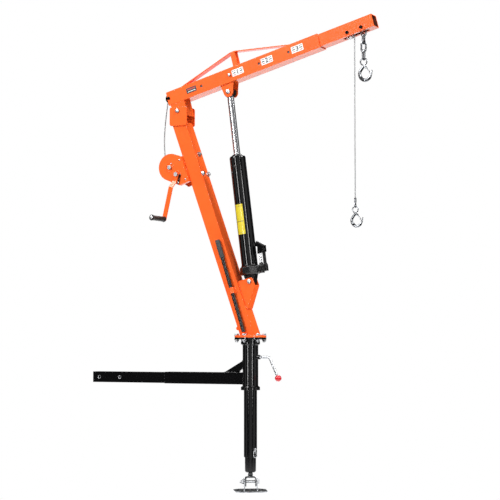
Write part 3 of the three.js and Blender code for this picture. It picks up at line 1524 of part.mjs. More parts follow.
// The pinion shaft with its ratchet wheel, the pawl, the cranked arm and the turning grip
const makeCrank = () => {
  const coverFront = -winchWidth / 2 - seat - coverDepth;
  const ratchetFront = coverFront - seat - ratchetWidth;
  const hubFront = ratchetFront - crankThickness - seat;
  const pinionBack = -winchWidth / 2 - seat;
  const towardDrum = Math.atan2(-gearReach.y, -gearReach.x);
  const pinionShape = gearOutline(pinionTeeth, gearModule, towardDrum);
  const toothStep = (2 * Math.PI) / ratchetTeeth;
  const ratchetPoints = [];
  for (let i = 0; i < ratchetTeeth; i += 1) {
    const angle = i * toothStep;
    ratchetPoints.push([ratchetRadius * Math.cos(angle), ratchetRadius * Math.sin(angle)]);
    const root = ratchetRadius - ratchetStep;
    ratchetPoints.push([root * Math.cos(angle), root * Math.sin(angle)]);
  }
  const ratchetShape = outline(ratchetPoints);
  const farEnd = winchWidth / 2 + axleDiameter;
  const shaft = joined(
    rodY(crankShaftDiameter / 2, hubFront - seat - weldSink, farEnd),
    plateXZ(pinionShape, pinionBack - gearWidth - seat, pinionBack - seat),
    plateXZ(ratchetShape, ratchetFront, ratchetFront + ratchetWidth),
    rodY(crankHubDiameter / 2, hubFront - seat - hexHeight(crankShaftDiameter), hubFront - seat, pulleySides),
  );
  put('crank_shaft', 'zinc', moved(shaft, -crankBehind, 0, crankRise), inMast);

  const pawlReach = new THREE.Vector2(pawlBehind - crankBehind, crankRise - pawlRise);
  const pawlClear = ratchetRadius + pawlTooth + runningGap + pawlWidth / 2;
  const pawlLean = Math.asin(pawlClear / pawlReach.length());
  const pawlAngle = Math.atan2(pawlReach.y, pawlReach.x) - pawlLean;
  const ways = new THREE.Vector2(Math.cos(pawlAngle), Math.sin(pawlAngle));
  const side = new THREE.Vector2(-ways.y, ways.x);
  const pawlAt = (along, across) => [
    -pawlBehind + ways.x * along + side.x * across,
    pawlRise + ways.y * along + side.y * across,
  ];
  const toothPlace = pawlReach.length() * Math.cos(pawlLean);
  const pawlEnd = toothPlace + pawlTip;
  const halfPawl = pawlWidth / 2;
  const pawlCorner = pawlWidth / 3;
  const pawlShape = softOutline([
    [...pawlAt(-pawlWidth, -halfPawl), pawlCorner], [...pawlAt(pawlEnd, -halfPawl), pawlCorner],
    [...pawlAt(pawlEnd, halfPawl), pawlCorner], [...pawlAt(toothPlace + halfPawl, halfPawl)],
    [...pawlAt(toothPlace, halfPawl + pawlTooth)], [...pawlAt(toothPlace - pawlCorner, halfPawl)],
    [...pawlAt(-pawlWidth, halfPawl), pawlCorner],
  ]);
  const pawl = cut(
    plateXZ(pawlShape, coverFront - ratchetWidth, coverFront - seat, 4),
    moved(boreY(pawlPin / 2 + seat, -2 * winchWidth, 0, holeSides), -pawlBehind, 0, pawlRise),
  );
  put('pawl', 'zinc', pawl, inMast);

  const crankFrame = new THREE.Matrix4().makeRotationY(radians(crankAngle));
  crankFrame.setPosition(-crankBehind, 0, crankRise);
  const back = hubFront + crankThickness;
  const thick = crankThickness;
  const low = -crankLength - crankWidth / 2;
  const bent = outline([
    [back, crankWidth / 2], [back, -crankJogStart], [back - crankJog, -crankJogEnd],
    [back - crankJog, low], [back - crankJog - thick, low], [back - crankJog - thick, -crankJogEnd],
    [back - thick, -crankJogStart], [back - thick, crankWidth / 2],
  ]);
  const armBlank = plateYZ(bent, -crankWidth / 2, crankWidth / 2);
  const roundEnd = new THREE.Shape();
  roundEnd.absarc(0, 0, crankWidth / 2, 0, Math.PI, false);
  roundEnd.lineTo(-crankWidth / 2, -crankLength);
  roundEnd.absarc(0, -crankLength, crankWidth / 2, Math.PI, 2 * Math.PI, false);
  roundEnd.closePath();
  const plan = plateXZ(roundEnd, back - crankJog - 2 * thick, back + thick, 8);
  const gripStart = back - crankJog - thick;
  const boltEnd = gripStart - gripLength - 2 * seat;
  const spindle = moved(joined(
    rodY(gripBoltDiameter / 2, boltEnd - weldSink, gripStart + weldSink),
    rodY(gripBoltHead / 2, boltEnd - gripBoltHeadHeight, boltEnd),
  ), 0, 0, -crankLength);
  const arm = joined(
    cut(armBlank.intersect(plan), boreY(crankShaftDiameter / 2 + seat, -2 * winchWidth, 0)),
    spindle,
  );
  put('crank_arm', 'orange', framed(arm, crankFrame), inMast);

  const gripRadius = gripDiameter / 2;
  const gripBack = gripStart - seat;
  const gripFront = gripBack - gripLength;
  const flareLength = gripLength * gripFlareShare;
  const grip = turned([
    [gripBore / 2, gripFront], [gripRadius, gripFront], [gripRadius, gripFront + flareLength / 2],
    [gripRadius - gripFlare, gripFront + flareLength], [gripRadius - gripFlare, gripBack - flareLength],
    [gripRadius, gripBack - flareLength / 2], [gripRadius, gripBack], [gripBore / 2, gripBack],
  ], pulleySides).rotate([-90, 0, 0]);
  put('crank_grip', 'black', framed(moved(grip, 0, 0, -crankLength), crankFrame), inMast);
};

// A rope in the X and Z plane through the given places
const ropeThrough = (places) => {
  const normal = new THREE.Vector3(0, 1, 0);
  const rings = places.map((centre, i) => {
    const before = places[Math.max(i - 1, 0)];
    const after = places[Math.min(i + 1, places.length - 1)];
    const into = centre.clone().sub(before).normalize();
    const outOf = after.clone().sub(centre).normalize();
    return ringRound(centre, into.add(outOf), normal, ropeRadius, ropeSides);
  });
  return solidOf(skinned(rings, false));
};

// Wire rope from the drum up over the rear roller and along the boom to the head pulley
const makeRopeRun = () => {
  const { drum, roller, leave, meet } = ropeRunAngles();
  const offset = (radius, at) => new THREE.Vector3(radius * Math.cos(at), 0, radius * Math.sin(at));
  const tangent = (at) => new THREE.Vector3(Math.sin(at), 0, -Math.cos(at));
  const start = drum.clone().add(offset(drumRopeRadius, leave));
  start.addScaledVector(tangent(leave), ropeDiameter + seat);
  const arrive = roller.clone().add(offset(rollerRopeRadius, meet));
  const handle = start.distanceTo(arrive) / 3;
  const bow = new THREE.CubicBezierCurve3(
    start,
    start.clone().addScaledVector(tangent(leave), handle),
    arrive.clone().addScaledVector(tangent(meet), -handle),
    arrive,
  );
  const toPulley = pulleyPlace.clone().sub(roller);
  const run = Math.hypot(toPulley.x, toPulley.z);
  const slope = Math.atan2(toPulley.z, toPulley.x);
  const topAngle = slope + Math.acos((rollerRopeRadius - pulleyRopeRadius) / run);
  const top = roller.clone().add(offset(rollerRopeRadius, topAngle));
  const end = pulleyPlace.clone().add(offset(pulleyRopeRadius, topAngle));
  const along = end.clone().sub(top).normalize();
  const route = bow.getPoints(slackSteps);
  for (let i = 1; i <= bendSteps; i += 1) {
    const at = THREE.MathUtils.lerp(meet, topAngle, i / bendSteps);
    route.push(roller.clone().add(offset(rollerRopeRadius, at)));
  }
  const stop = end.clone().addScaledVector(along, -pulleyRadius);
  put('rope_run', 'rope', ropeThrough([...route, stop]));

  const drop = [];
  for (let i = 0; i <= bendSteps; i += 1) {
    const at = THREE.MathUtils.lerp(topAngle, 0, i / bendSteps);
    drop.push(pulleyPlace.clone().add(offset(pulleyRopeRadius, at)));
  }
  const dropX = pulleyPlace.x + pulleyRopeRadius;
  drop.push(new THREE.Vector3(dropX, 0, ferruleTop + seat));
  put('rope_drop', 'rope', ropeThrough(drop));
  return dropX;
};

// Pressed ferrule with the rope's eye below it, and the hook that hangs in the eye
const makeRopeEnd = (dropX) => {
  const ferruleLow = ferruleTop - ferruleLength;
  const oval = new THREE.Shape();
  const round = ferruleWidth / 2;
  const stretch = ferruleDepth / ferruleWidth;
  for (let i = 0; i < smallSides; i += 1) {
    const angle = (2 * Math.PI * i) / smallSides;
    const place = [round * stretch * Math.cos(angle), round * Math.sin(angle)];
    if (i === 0) oval.moveTo(...place);
    else oval.lineTo(...place);
  }
  oval.closePath();
  const sleeve = plateXY(oval, ferruleLow, ferruleTop);
  const arcCentre = ferruleLow - loopDrop + loopRadius;
  const throat = ropeRadius + seat;
  const points = [new THREE.Vector3(0, -throat, ferruleLow + throat)];
  const arcSteps = 10;
  for (let i = 0; i <= arcSteps; i += 1) {
    const angle = Math.PI + (Math.PI * i) / arcSteps;
    points.push(new THREE.Vector3(0, loopRadius * Math.cos(angle), arcCentre + loopRadius * Math.sin(angle)));
  }
  points.push(new THREE.Vector3(0, throat, ferruleLow + throat));
  const loop = solidOf(barAlong(new THREE.CatmullRomCurve3(points), ropeRadius, loopSteps, ropeSides));
  put('rope_ferrule', 'zinc', moved(joined(sleeve, loop), dropX, 0, 0));

  const loopInner = arcCentre - loopRadius + ropeRadius;
  const eyeInner = (hookEyeShare - hookWireShare) * ropeHookSize;
  const eyeOuter = (hookEyeShare + hookWireShare) * ropeHookSize;
  const eyeTop = loopInner + seat + eyeOuter - eyeInner;
  makeHook('rope_hook', 'bronze', ropeHookSize, { x: dropX, z: eyeTop - eyeOuter });
};

makeFoot();
makeLeg();
makeColumn();
makeFlangeBolts();
makeDrawbar();
makeMast();
makeHandle();
makeJackBracket();
makeJack();
makeBoom();
makeInnerBoom();
makeChain();
makeWinchFrame();
makeDrum();
makeWinding();
makeCrank();
makeRopeEnd(makeRopeRun());

export default group;
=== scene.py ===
"""Looks of the pickup truck crane: camera, light, materials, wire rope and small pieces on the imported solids.

Metres, +Z up, in the frame of the solids. W, M, B, J and F take millimetres in the frames of the whole crane,
the mast, the boom, the jack and the foot, and give places in metres.
"""

import json
import math
import random

import bmesh
import bpy
from mathutils import Matrix, Vector


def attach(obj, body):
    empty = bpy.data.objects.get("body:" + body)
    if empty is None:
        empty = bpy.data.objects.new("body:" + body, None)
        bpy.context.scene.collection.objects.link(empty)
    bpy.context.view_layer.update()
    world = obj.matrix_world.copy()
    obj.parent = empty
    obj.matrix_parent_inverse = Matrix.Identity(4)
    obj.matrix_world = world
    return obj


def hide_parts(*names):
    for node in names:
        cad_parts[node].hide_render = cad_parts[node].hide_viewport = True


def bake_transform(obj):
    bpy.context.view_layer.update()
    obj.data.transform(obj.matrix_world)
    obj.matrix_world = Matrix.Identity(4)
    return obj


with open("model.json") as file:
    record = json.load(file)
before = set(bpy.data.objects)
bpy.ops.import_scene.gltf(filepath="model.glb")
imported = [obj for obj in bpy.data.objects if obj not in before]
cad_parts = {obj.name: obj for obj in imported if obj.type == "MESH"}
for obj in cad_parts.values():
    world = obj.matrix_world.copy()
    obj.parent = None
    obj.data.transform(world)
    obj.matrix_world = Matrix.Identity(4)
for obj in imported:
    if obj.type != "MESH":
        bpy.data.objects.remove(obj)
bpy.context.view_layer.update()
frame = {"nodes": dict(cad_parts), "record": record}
NODES = frame["nodes"]
scene = bpy.context.scene
rng = random.Random(7)
MM = 0.001

X, Y, Z = Vector((1, 0, 0)), Vector((0, 1, 0)), Vector((0, 0, 1))
NEAR, FAR = Vector((0, -1, 0)), Y
MAST_LEAN = 20.0


def leaning(x, z, degrees):
    """Frame at a place in the crane's middle plane, leaning about Y."""
    return Matrix.Translation((x, 0, z)) @ Matrix.Rotation(-math.radians(degrees), 4, "Y")


def at(matrix):
    """Function that gives a place in metres from x, y and z in mm in a frame."""
    return lambda x, y, z: matrix @ (Vector((x, y, z)) * MM)


MAST_FRAME = leaning(0, 0.7139, MAST_LEAN)
BOOM_FRAME = leaning(-0.36948, 1.77875, 14.8)
JACK_FRAME = leaning(0.00604, 0.96192, 7.28337)
FOOT_FRAME = Matrix.Rotation(math.radians(34), 4, "Z")
M, B, J, F = (at(matrix) for matrix in (MAST_FRAME, BOOM_FRAME, JACK_FRAME, FOOT_FRAME))
W = at(Matrix.Identity(4))

# The jack's direction, and how far along it the painted eye of its rod starts
JACK_DIRECTION = (-0.126777, 0, 0.991931)
EYE_START = 1.8252

# ---------------------------------------------------------------- camera


def aim(obj, direction):
    """Turns a camera or lamp to look along a direction."""
    obj.rotation_mode = "QUATERNION"
    obj.rotation_quaternion = direction.to_track_quat("-Z", "Y")


# Place, direction and lens are fitted to the crane's straight lines in the photo
camera_data = bpy.data.cameras.new("camera")
camera_data.lens = 107.9
camera_data.sensor_width = 36.0
camera_data.shift_x = -0.001
camera_data.clip_end = 200
camera = bpy.data.objects.new("camera", camera_data)
scene.collection.objects.link(camera)
camera.location = (3.186, -6.146, 0.684)
AZIMUTH, PITCH = math.radians(27.4), math.radians(3.51)
ahead = Vector((-math.sin(AZIMUTH) * math.cos(PITCH), math.cos(AZIMUTH) * math.cos(PITCH), math.sin(PITCH)))
aim(camera, ahead)
scene.camera = camera

# ---------------------------------------------------------------- materials


class Nodes:
    """Short hand for building a node tree."""

    def __init__(self, tree, coordinates):
        self.tree = tree
        self.place = tree.nodes.new("ShaderNodeTexCoord").outputs[coordinates]

    def node(self, kind, links=(), **settings):
        made = self.tree.nodes.new(kind)
        for key, value in settings.items():
            setattr(made, key, value)
        for socket, value in dict(links).items():
            if hasattr(value, "is_output"):
                self.tree.links.new(value, made.inputs[socket])
            else:
                made.inputs[socket].default_value = value
        return made

    def noise(self, scale, detail, rough=0.55, distortion=0.0):
        return self.node("ShaderNodeTexNoise", {
            "Vector": self.place, "Scale": scale, "Detail": detail, "Roughness": rough, "Distortion": distortion,
        }).outputs[0]

    def ramp(self, value, low, high, out_low=0.0, out_high=1.0):
        return self.node("ShaderNodeMapRange", {
            "Value": value, "From Min": low, "From Max": high, "To Min": out_low, "To Max": out_high,
        }).outputs[0]

    def times(self, a, b):
        return self.node("ShaderNodeMath", {0: a, 1: b}, operation="MULTIPLY").outputs[0]

    def plus(self, a, b):
        return self.node("ShaderNodeMath", {0: a, 1: b}, operation="ADD", use_clamp=True).outputs[0]

    def rest(self, share):
        """What a share leaves of 1."""
        return self.node("ShaderNodeMath", {0: 1.0, 1: share}, operation="SUBTRACT").outputs[0]

    def dot(self, a, b):
        return self.node("ShaderNodeVectorMath", {0: a, 1: b}, operation="DOT_PRODUCT").outputs["Value"]

    def mixed(self, share, a, b):
        made = self.node("ShaderNodeMix", {"Factor": share}, data_type="RGBA")
        for socket, value in ((6, a), (7, b)):
            if hasattr(value, "is_output"):
                self.tree.links.new(value, made.inputs[socket])
            else:
                made.inputs[socket].default_value = (*value, 1)
        return made.outputs[2]

    def bump(self, height, strength, distance, normal=None):
        links = {"Height": height, "Strength": strength, "Distance": distance}
        if normal is not None:
            links["Normal"] = normal
        return self.node("ShaderNodeBump", links).outputs[0]


class Paint(Nodes):
    """A material with its shader, in the coordinates of its object."""

    def __init__(self, name):
        self.material = bpy.data.materials.new(name)
        self.material.use_nodes = True
        super().__init__(self.material.node_tree, "Object")
        self.shader = self.tree.nodes["Principled BSDF"]

    def edges(self, radius):
        """Rounded normal, and a mask that is 1 along sharp edges."""
        rounded, wide = (self.node("ShaderNodeBevel", {"Radius": r}, samples=6).outputs[0]
                         for r in (radius, radius * 1.6))
        flat = self.node("ShaderNodeNewGeometry").outputs["True Normal"]
        return rounded, self.ramp(self.rest(self.dot(wide, flat)), 0.03, 0.22)

    def upward(self):
        normal = self.node("ShaderNodeNewGeometry").outputs["Normal"]
        return self.node("ShaderNodeSeparateXYZ", {0: normal}).outputs[2]

    def set(self, **values):
        """Links or sets inputs of the shader; _ in a name stands for a space."""
        for key, value in values.items():
            socket = self.shader.inputs[key.replace("_", " ")]
            if hasattr(value, "is_output"):
                self.tree.links.new(value, socket)
            elif isinstance(value, tuple) and len(value) == 3:
                socket.default_value = (*value, 1)
            else:
                socket.default_value = value


def powder_coat(name, colour, dark, worn, rough, gloss, dust=0.06, peel_depth=0.05):
    """Oven-baked paint: fine orange peel, faint clouding, thin paint on the edges and dust on what faces up."""
    n = Paint(name)
    cloud = n.noise(5.0, 4.0)
    fine = n.noise(60.0, 5.0, 0.6)
    body = n.mixed(n.ramp(cloud, 0.35, 0.7), colour, dark)
    body = n.mixed(n.times(n.ramp(fine, 0.45, 0.75), 0.25), body, dark)
    rounded, mask = n.edges(0.0012)
    chips = n.ramp(n.noise(240.0, 4.0, 0.7), 0.52, 0.66)
    body = n.mixed(n.times(n.times(mask, chips), 0.3), body, worn)
    up = n.ramp(n.upward(), 0.6, 1.0)
    settled = n.times(n.times(up, n.ramp(n.noise(22.0, 5.0, 0.65), 0.4, 0.75)), dust)
    body = n.mixed(settled, body, (0.62, 0.58, 0.54))
    scuff = n.ramp(n.noise(14.0, 6.0, 0.7, distortion=1.2), 0.58, 0.72)
    matt = n.plus(n.ramp(fine, 0.2, 0.8, rough - 0.04, rough + 0.05), n.times(scuff, 0.04))
    n.set(Base_Color=body, Roughness=matt, Specular_IOR_Level=gloss)
    waves = n.bump(n.noise(35.0, 2.0), peel_depth / 3, 0.003, rounded)
    n.set(Normal=n.bump(n.noise(420.0, 2.0, 0.5), peel_depth, 0.0006, waves))
    return n.material


def plated(name, colour, tint, rough, grime, spread=0.05):
    """Zinc or bare steel: spangle and passivation tint, dull patches, grime in the hollows, bright edges."""
    n = Paint(name)
    tone = n.mixed(n.ramp(n.noise(38.0, 4.0, 0.6), 0.38, 0.64), colour, tint)
    spangle = n.node("ShaderNodeTexVoronoi", {"Vector": n.place, "Scale": 520.0}).outputs["Distance"]
    tone = n.mixed(n.times(n.ramp(spangle, 0.1, 0.7), 0.1), tone, tuple(c * 0.72 for c in colour))
    rounded, mask = n.edges(0.0009)
    tone = n.mixed(n.times(n.ramp(n.noise(90.0, 6.0, 0.7), 0.5, 0.74), grime), tone, (0.11, 0.1, 0.09))
    tone = n.mixed(n.times(mask, 0.5), tone, tuple(min(1.0, c * 1.25) for c in colour))
    n.set(Base_Color=tone, Metallic=1.0)
    n.set(Roughness=n.ramp(n.noise(46.0, 5.0), 0.25, 0.75, rough - spread, rough + spread * 1.5))
    n.set(Normal=n.bump(n.noise(700.0, 3.0, 0.6), 0.02, 0.0002, rounded))
    return n.material


def rubber_like(name, colour, worn, rough, depth=0.25):
    """Moulded rubber or plastic: fine grain, greyed where hands rub it."""
    n = Paint(name)
    rubbed = n.ramp(n.noise(30.0, 5.0, 0.65), 0.45, 0.7)
    rounded, mask = n.edges(0.0008)
    tone = n.mixed(n.times(rubbed, 0.5), colour, worn)
    tone = n.mixed(n.times(mask, 0.45), tone, worn)
    n.set(Base_Color=tone, Roughness=n.ramp(n.noise(55.0, 4.0), 0.2, 0.8, rough - 0.1, rough + 0.1))
    n.set(Normal=n.bump(n.noise(900.0, 3.0, 0.6), depth, 0.0004, rounded))
    return n.material


def cast_iron(name, colour, worn):
    """Painted casting: pebbled skin under a thin coat of paint."""
    n = Paint(name)
    rounded, mask = n.edges(0.0014)
    chips = n.ramp(n.noise(170.0, 4.0, 0.7), 0.5, 0.66)
    tone = n.mixed(n.times(n.times(mask, chips), 0.7), colour, worn)
    tone = n.mixed(n.times(n.ramp(n.noise(26.0, 5.0), 0.5, 0.75), 0.3), tone, (0.016, 0.015, 0.014))
    pebbles = n.noise(260.0, 4.0, 0.6)
    n.set(Base_Color=tone, Roughness=n.ramp(pebbles, 0.3, 0.7, 0.16, 0.26))
    n.set(Normal=n.bump(pebbles, 0.10, 0.001, rounded))
    return n.material


def polished_chrome():
    """Hard chrome with a faint oil film; the ram's eye above the rod is painted black."""
    n = Paint("chrome")
    film = n.noise(24.0, 4.0, 0.6)
    rounded, mask = n.edges(0.0006)
    tone = n.mixed(n.ramp(film, 0.4, 0.7), (0.80, 0.81, 0.83), (0.70, 0.72, 0.75))
    tone = n.mixed(n.times(mask, 0.4), tone, (0.93, 0.93, 0.94))
    painted = n.ramp(n.dot(n.place, JACK_DIRECTION), EYE_START, EYE_START + 0.0004)
    coat = n.mixed(n.ramp(n.noise(60.0, 5.0), 0.45, 0.75), (0.008, 0.008, 0.0085), (0.02, 0.02, 0.021))
    n.set(Base_Color=n.mixed(painted, tone, coat), Metallic=n.rest(painted))
    n.set(Roughness=n.plus(n.ramp(film, 0.3, 0.75, 0.09, 0.13), n.times(painted, 0.12)), Normal=rounded)
    return n.material


def rope_wire():
    """Galvanised wire: each strand's wires show as fine slanted lines, with grease darkening the valleys."""
    n = Paint("rope")
    slanted = n.node("ShaderNodeMapping", {"Vector": n.place, "Scale": (1.0, 1.0, 1.6)}).outputs[0]
    wires = n.node("ShaderNodeTexWave", {"Vector": slanted, "Scale": 900.0, "Distortion": 1.5},
                   bands_direction="DIAGONAL").outputs[1]
    grease = n.ramp(n.noise(70.0, 5.0, 0.65), 0.45, 0.7)
    tone = n.mixed(n.times(grease, 0.6), (0.33, 0.335, 0.34), (0.15, 0.145, 0.14))
    tone = n.mixed(n.times(wires, 0.3), tone, (0.5, 0.505, 0.51))
    n.set(Base_Color=tone, Metallic=0.6, Roughness=n.ramp(grease, 0.0, 1.0, 0.42, 0.6))
    n.set(Normal=n.bump(wires, 0.35, 0.0004))
    return n.material


def glossy_ball():
    """Lacquered plastic ball with faint swirls and rubbed spots."""
    n = Paint("red")
    swirl = n.noise(60.0, 4.0, 0.6, distortion=2.0)
    rounded, _ = n.edges(0.0008)
    tone = n.mixed(n.ramp(swirl, 0.4, 0.7), (0.56, 0.012, 0.022), (0.46, 0.008, 0.016))
    tone = n.mixed(n.times(n.ramp(n.noise(150.0, 5.0, 0.7), 0.6, 0.75), 0.3), tone, (0.75, 0.2, 0.2))
    n.set(Base_Color=tone, Roughness=n.ramp(swirl, 0.3, 0.7, 0.16, 0.28))
    n.set(Normal=n.bump(n.noise(90.0, 3.0), 0.05, 0.001, rounded), Coat_Weight=0.5, Coat_Roughness=0.06)
    return n.material


def printed(name, colour, shade, rough=0.35):
    """Thin vinyl, also used for dark sheets of painted shade: slight mottling, a soft sheen and tiny lifted spots."""
    n = Paint(name)
    tone = n.mixed(n.ramp(n.noise(80.0, 4.0), 0.4, 0.7), colour, shade)
    n.set(Base_Color=tone, Roughness=n.ramp(n.noise(40.0, 4.0), 0.3, 0.7, rough - 0.08, rough + 0.1))
    n.set(Normal=n.bump(n.noise(200.0, 3.0), 0.08, 0.0004), Coat_Weight=0.3)
    return n.material


# Materials of the record's slots
LOOKS = {
    "orange": powder_coat("orange", (0.92, 0.132, 0.021), (0.86, 0.108, 0.016), (0.95, 0.34, 0.16),
                          rough=0.19, gloss=0.4),
    "black": powder_coat("black", (0.0022, 0.0022, 0.0025), (0.0015, 0.0015, 0.0017), (0.08, 0.08, 0.08),
                         rough=0.10, gloss=0.45, dust=0.012, peel_depth=0.008),
    "cast_black": cast_iron("cast_black", (0.003, 0.003, 0.0033), (0.10, 0.096, 0.092)),
    "zinc": plated("zinc", (0.54, 0.55, 0.565), (0.43, 0.44, 0.46), rough=0.34, grime=0.25),
    "chrome": polished_chrome(),
    "rubber": rubber_like("rubber", (0.035, 0.038, 0.04), (0.075, 0.078, 0.08), rough=0.7),
    "black_plastic": rubber_like("black_plastic", (0.010, 0.0085, 0.008), (0.022, 0.019, 0.018),
                                 rough=0.5, depth=0.05),
    "red": glossy_ball(),
    "bronze": plated("bronze", (0.50, 0.32, 0.21), (0.38, 0.27, 0.22), rough=0.32, grime=0.4),
    "rope": rope_wire(),
}
# Finishes that share one of those slots
EXTRA = {
    "white_label": printed("white_label", (0.82, 0.82, 0.81), (0.74, 0.74, 0.73)),
    # Dark print on the labels, and painted shade in the discs behind the boom's lock pin holes
    "dark_print_and_shade": printed("dark_print_and_shade", (0.035, 0.03, 0.032), (0.06, 0.052, 0.052)),
    "red_print": printed("red_print", (0.45, 0.03, 0.025), (0.36, 0.02, 0.018)),
    "yellow_label": printed("yellow_label", (0.66, 0.54, 0.022), (0.58, 0.46, 0.018)),
    "dark_plate": printed("dark_plate", (0.022, 0.02, 0.022), (0.05, 0.04, 0.042), rough=0.28),
    # Painted shade: dark orange-brown for the liners inside the sliding boom's open end
    "painted_shade_liner": printed("painted_shade_liner", (0.16, 0.03, 0.012), (0.08, 0.018, 0.009), rough=0.75),
    "steel": plated("steel", (0.29, 0.30, 0.315), (0.19, 0.20, 0.215), rough=0.15, grime=0.5, spread=0.03),
    "plate_steel": plated("plate_steel", (0.40, 0.41, 0.425), (0.28, 0.29, 0.305), rough=0.22, grime=0.5),
    "dark_steel": plated("dark_steel", (0.10, 0.104, 0.108), (0.06, 0.063, 0.067),
                         rough=0.16, grime=0.5, spread=0.03),
    "satin_black": powder_coat("satin_black", (0.003, 0.003, 0.0033), (0.002, 0.002, 0.0022), (0.08, 0.08, 0.08),
                               rough=0.24, gloss=0.5, dust=0.01, peel_depth=0.02),
}

# ---------------------------------------------------------------- mesh helpers


def shading_group(limit):
    """Geometry nodes that join split corners and shade smooth up to an angle, with every place kept."""
    tree = bpy.data.node_groups.new(f"soft_shade_{limit}", "GeometryNodeTree")
    tree.interface.new_socket(name="Geometry", in_out="INPUT", socket_type="NodeSocketGeometry")
    tree.interface.new_socket(name="Geometry", in_out="OUTPUT", socket_type="NodeSocketGeometry")
    into, out = tree.nodes.new("NodeGroupInput"), tree.nodes.new("NodeGroupOutput")
    bare = tree.nodes.new("GeometryNodeRemoveAttribute")
    bare.inputs["Name"].default_value = "custom_normal"
    merge = tree.nodes.new("GeometryNodeMergeByDistance")
    merge.inputs["Distance"].default_value = 1e-6
    angle = tree.nodes.new("GeometryNodeInputMeshEdgeAngle")
    over = tree.nodes.new("FunctionNodeCompare")
    over.data_type, over.operation = "FLOAT", "GREATER_THAN"
    over.inputs[1].default_value = math.radians(limit)
    faces, creases = (tree.nodes.new("GeometryNodeSetShadeSmooth") for _ in range(2))
    faces.domain, creases.domain = "FACE", "EDGE"
    faces.inputs["Shade Smooth"].default_value = True
    creases.inputs["Shade Smooth"].default_value = False
    link = tree.links.new
    link(into.outputs[0], bare.inputs[0])
    link(bare.outputs[0], merge.inputs["Geometry"])
    link(merge.outputs[0], faces.inputs["Geometry"])
    link(faces.outputs[0], creases.inputs["Geometry"])
    link(angle.outputs["Unsigned Angle"], over.inputs[0])
    link(over.outputs[0], creases.inputs["Selection"])
    link(creases.outputs[0], out.inputs[0])
    return tree


# Angles in degrees up to which turned, plain and round pieces shade smooth
TURNED, PLAIN, ROUND = 32, 40, 62
SHADING = {limit: shading_group(limit) for limit in (TURNED, PLAIN, ROUND)}


def smooth(obj, limit):
    obj.modifiers.new("soft_shade", "NODES").node_group = SHADING[limit]
    weighted = obj.modifiers.new("weighted", "WEIGHTED_NORMAL")
    weighted.mode = "FACE_AREA_WITH_ANGLE"
    weighted.keep_sharp = True


def piece(name, mesh_or_bm, material, body, limit=PLAIN, shade=True):
    """Links a mesh as a piece that rides on a body. Without shade its own normals stay."""
    if isinstance(mesh_or_bm, bmesh.types.BMesh):
        mesh = bpy.data.meshes.new(name)
        bmesh.ops.recalc_face_normals(mesh_or_bm, faces=mesh_or_bm.faces)
        mesh_or_bm.to_mesh(mesh)
        mesh_or_bm.free()
    else:
        mesh = mesh_or_bm
    obj = bpy.data.objects.new(name, mesh)
    scene.collection.objects.link(obj)
    obj.data.materials.append(LOOKS.get(material) or EXTRA[material])
    if shade:
        smooth(obj, limit)
    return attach(obj, body)


def skin(bm, rings, closed_path=False, caps=True):
    """Joins rings of points into a skin in bm, with a face on each open end unless caps is off."""
    rows = [[bm.verts.new(p) for p in ring] for ring in rings]
    count = len(rows[0])
    pairs = list(zip(rows, rows[1:])) + ([(rows[-1], rows[0])] if closed_path else [])
    for a, b in pairs:
        for j in range(count):
            k = (j + 1) % count
            bm.faces.new((a[j], a[k], b[k], b[j]))
    if caps and not closed_path:
        bm.faces.new(rows[0][::-1])
        bm.faces.new(rows[-1])


def circle(radius, height, sides):
    """Points in metres round Z, from a radius and a height in mm."""
    turns = (2 * math.pi * j / sides for j in range(sides))
    return [Vector((radius * math.cos(a), radius * math.sin(a), height)) * MM for a in turns]


def normals_along(points, closed):
    """Two crossing normals at each point, with as little twist as may be."""
    count = len(points)
    out, normal = [], None
    for i, p in enumerate(points):
        before = points[(i - 1) % count] if closed or i > 0 else p
        after = points[(i + 1) % count] if closed or i < count - 1 else p
        d = (after - before).normalized()
        if normal is None:
            normal = d.cross(Y)
            if normal.length < 0.1:
                normal = d.cross(Z)
        normal = (normal - d * normal.dot(d)).normalized()
        out.append((normal, d.cross(normal)))
    return out


def tube(bm, points, radius, sides, closed=False):
    """A tube along points; its radius in metres is a number, or a function of a point's index and an angle."""
    rings = []
    for i, (p, (n, b)) in enumerate(zip(points, normals_along(points, closed))):
        ring = []
        for j in range(sides):
            angle = 2 * math.pi * j / sides
            r = radius(i, angle) if callable(radius) else radius
            ring.append(p + n * (r * math.cos(angle)) + b * (r * math.sin(angle)))
        rings.append(ring)
    skin(bm, rings, closed)


def resampled(points, step):
    """Points at even steps along a line of points, and its length."""
    lengths = [0.0]
    for a, b in zip(points, points[1:]):
        lengths.append(lengths[-1] + (b - a).length)
    count = max(2, round(lengths[-1] / step))
    out, k = [], 0
    for i in range(count + 1):
        want = lengths[-1] * i / count
        while k < len(points) - 2 and lengths[k + 1] < want:
            k += 1
        span = lengths[k + 1] - lengths[k]
        out.append(points[k].lerp(points[k + 1], (want - lengths[k]) / span if span else 0))
    return out, lengths[-1]


def smoothed(points, steps=6):
    """Catmull-Rom curve through points."""
    padded = [points[0] * 2 - points[1], *points, points[-1] * 2 - points[-2]]
    out = []
    for a, b, c, d in zip(padded, padded[1:], padded[2:], padded[3:]):
        for i in range(steps):
            t = i / steps
            out.append(0.5 * (2 * b + (c - a) * t + (2 * a - 5 * b + 4 * c - d) * t * t
                              + (3 * b - a - 3 * c + d) * t ** 3))
    return [*out, points[-1]]


def placed(bm, matrix):
    """The same mesh, moved by a matrix."""
    bmesh.ops.transform(bm, matrix=matrix, verts=bm.verts)
    return bm


def turned(name, profile, sides, matrix, material, body, limit=PLAIN, ring=False):
    """A piece turned about Z from a profile of (radius, height) in mm; a ring is open in its middle."""
    bm = bmesh.new()
    skin(bm, [circle(radius, height, sides) for radius, height in profile], closed_path=ring)
    piece(name, placed(bm, matrix), material, body, limit=limit)


BEAD_STEP = 0.0017
BEAD_LOOKS = {"column": "orange", "boom": "orange", "hitch_base": "black", "foot": "zinc"}


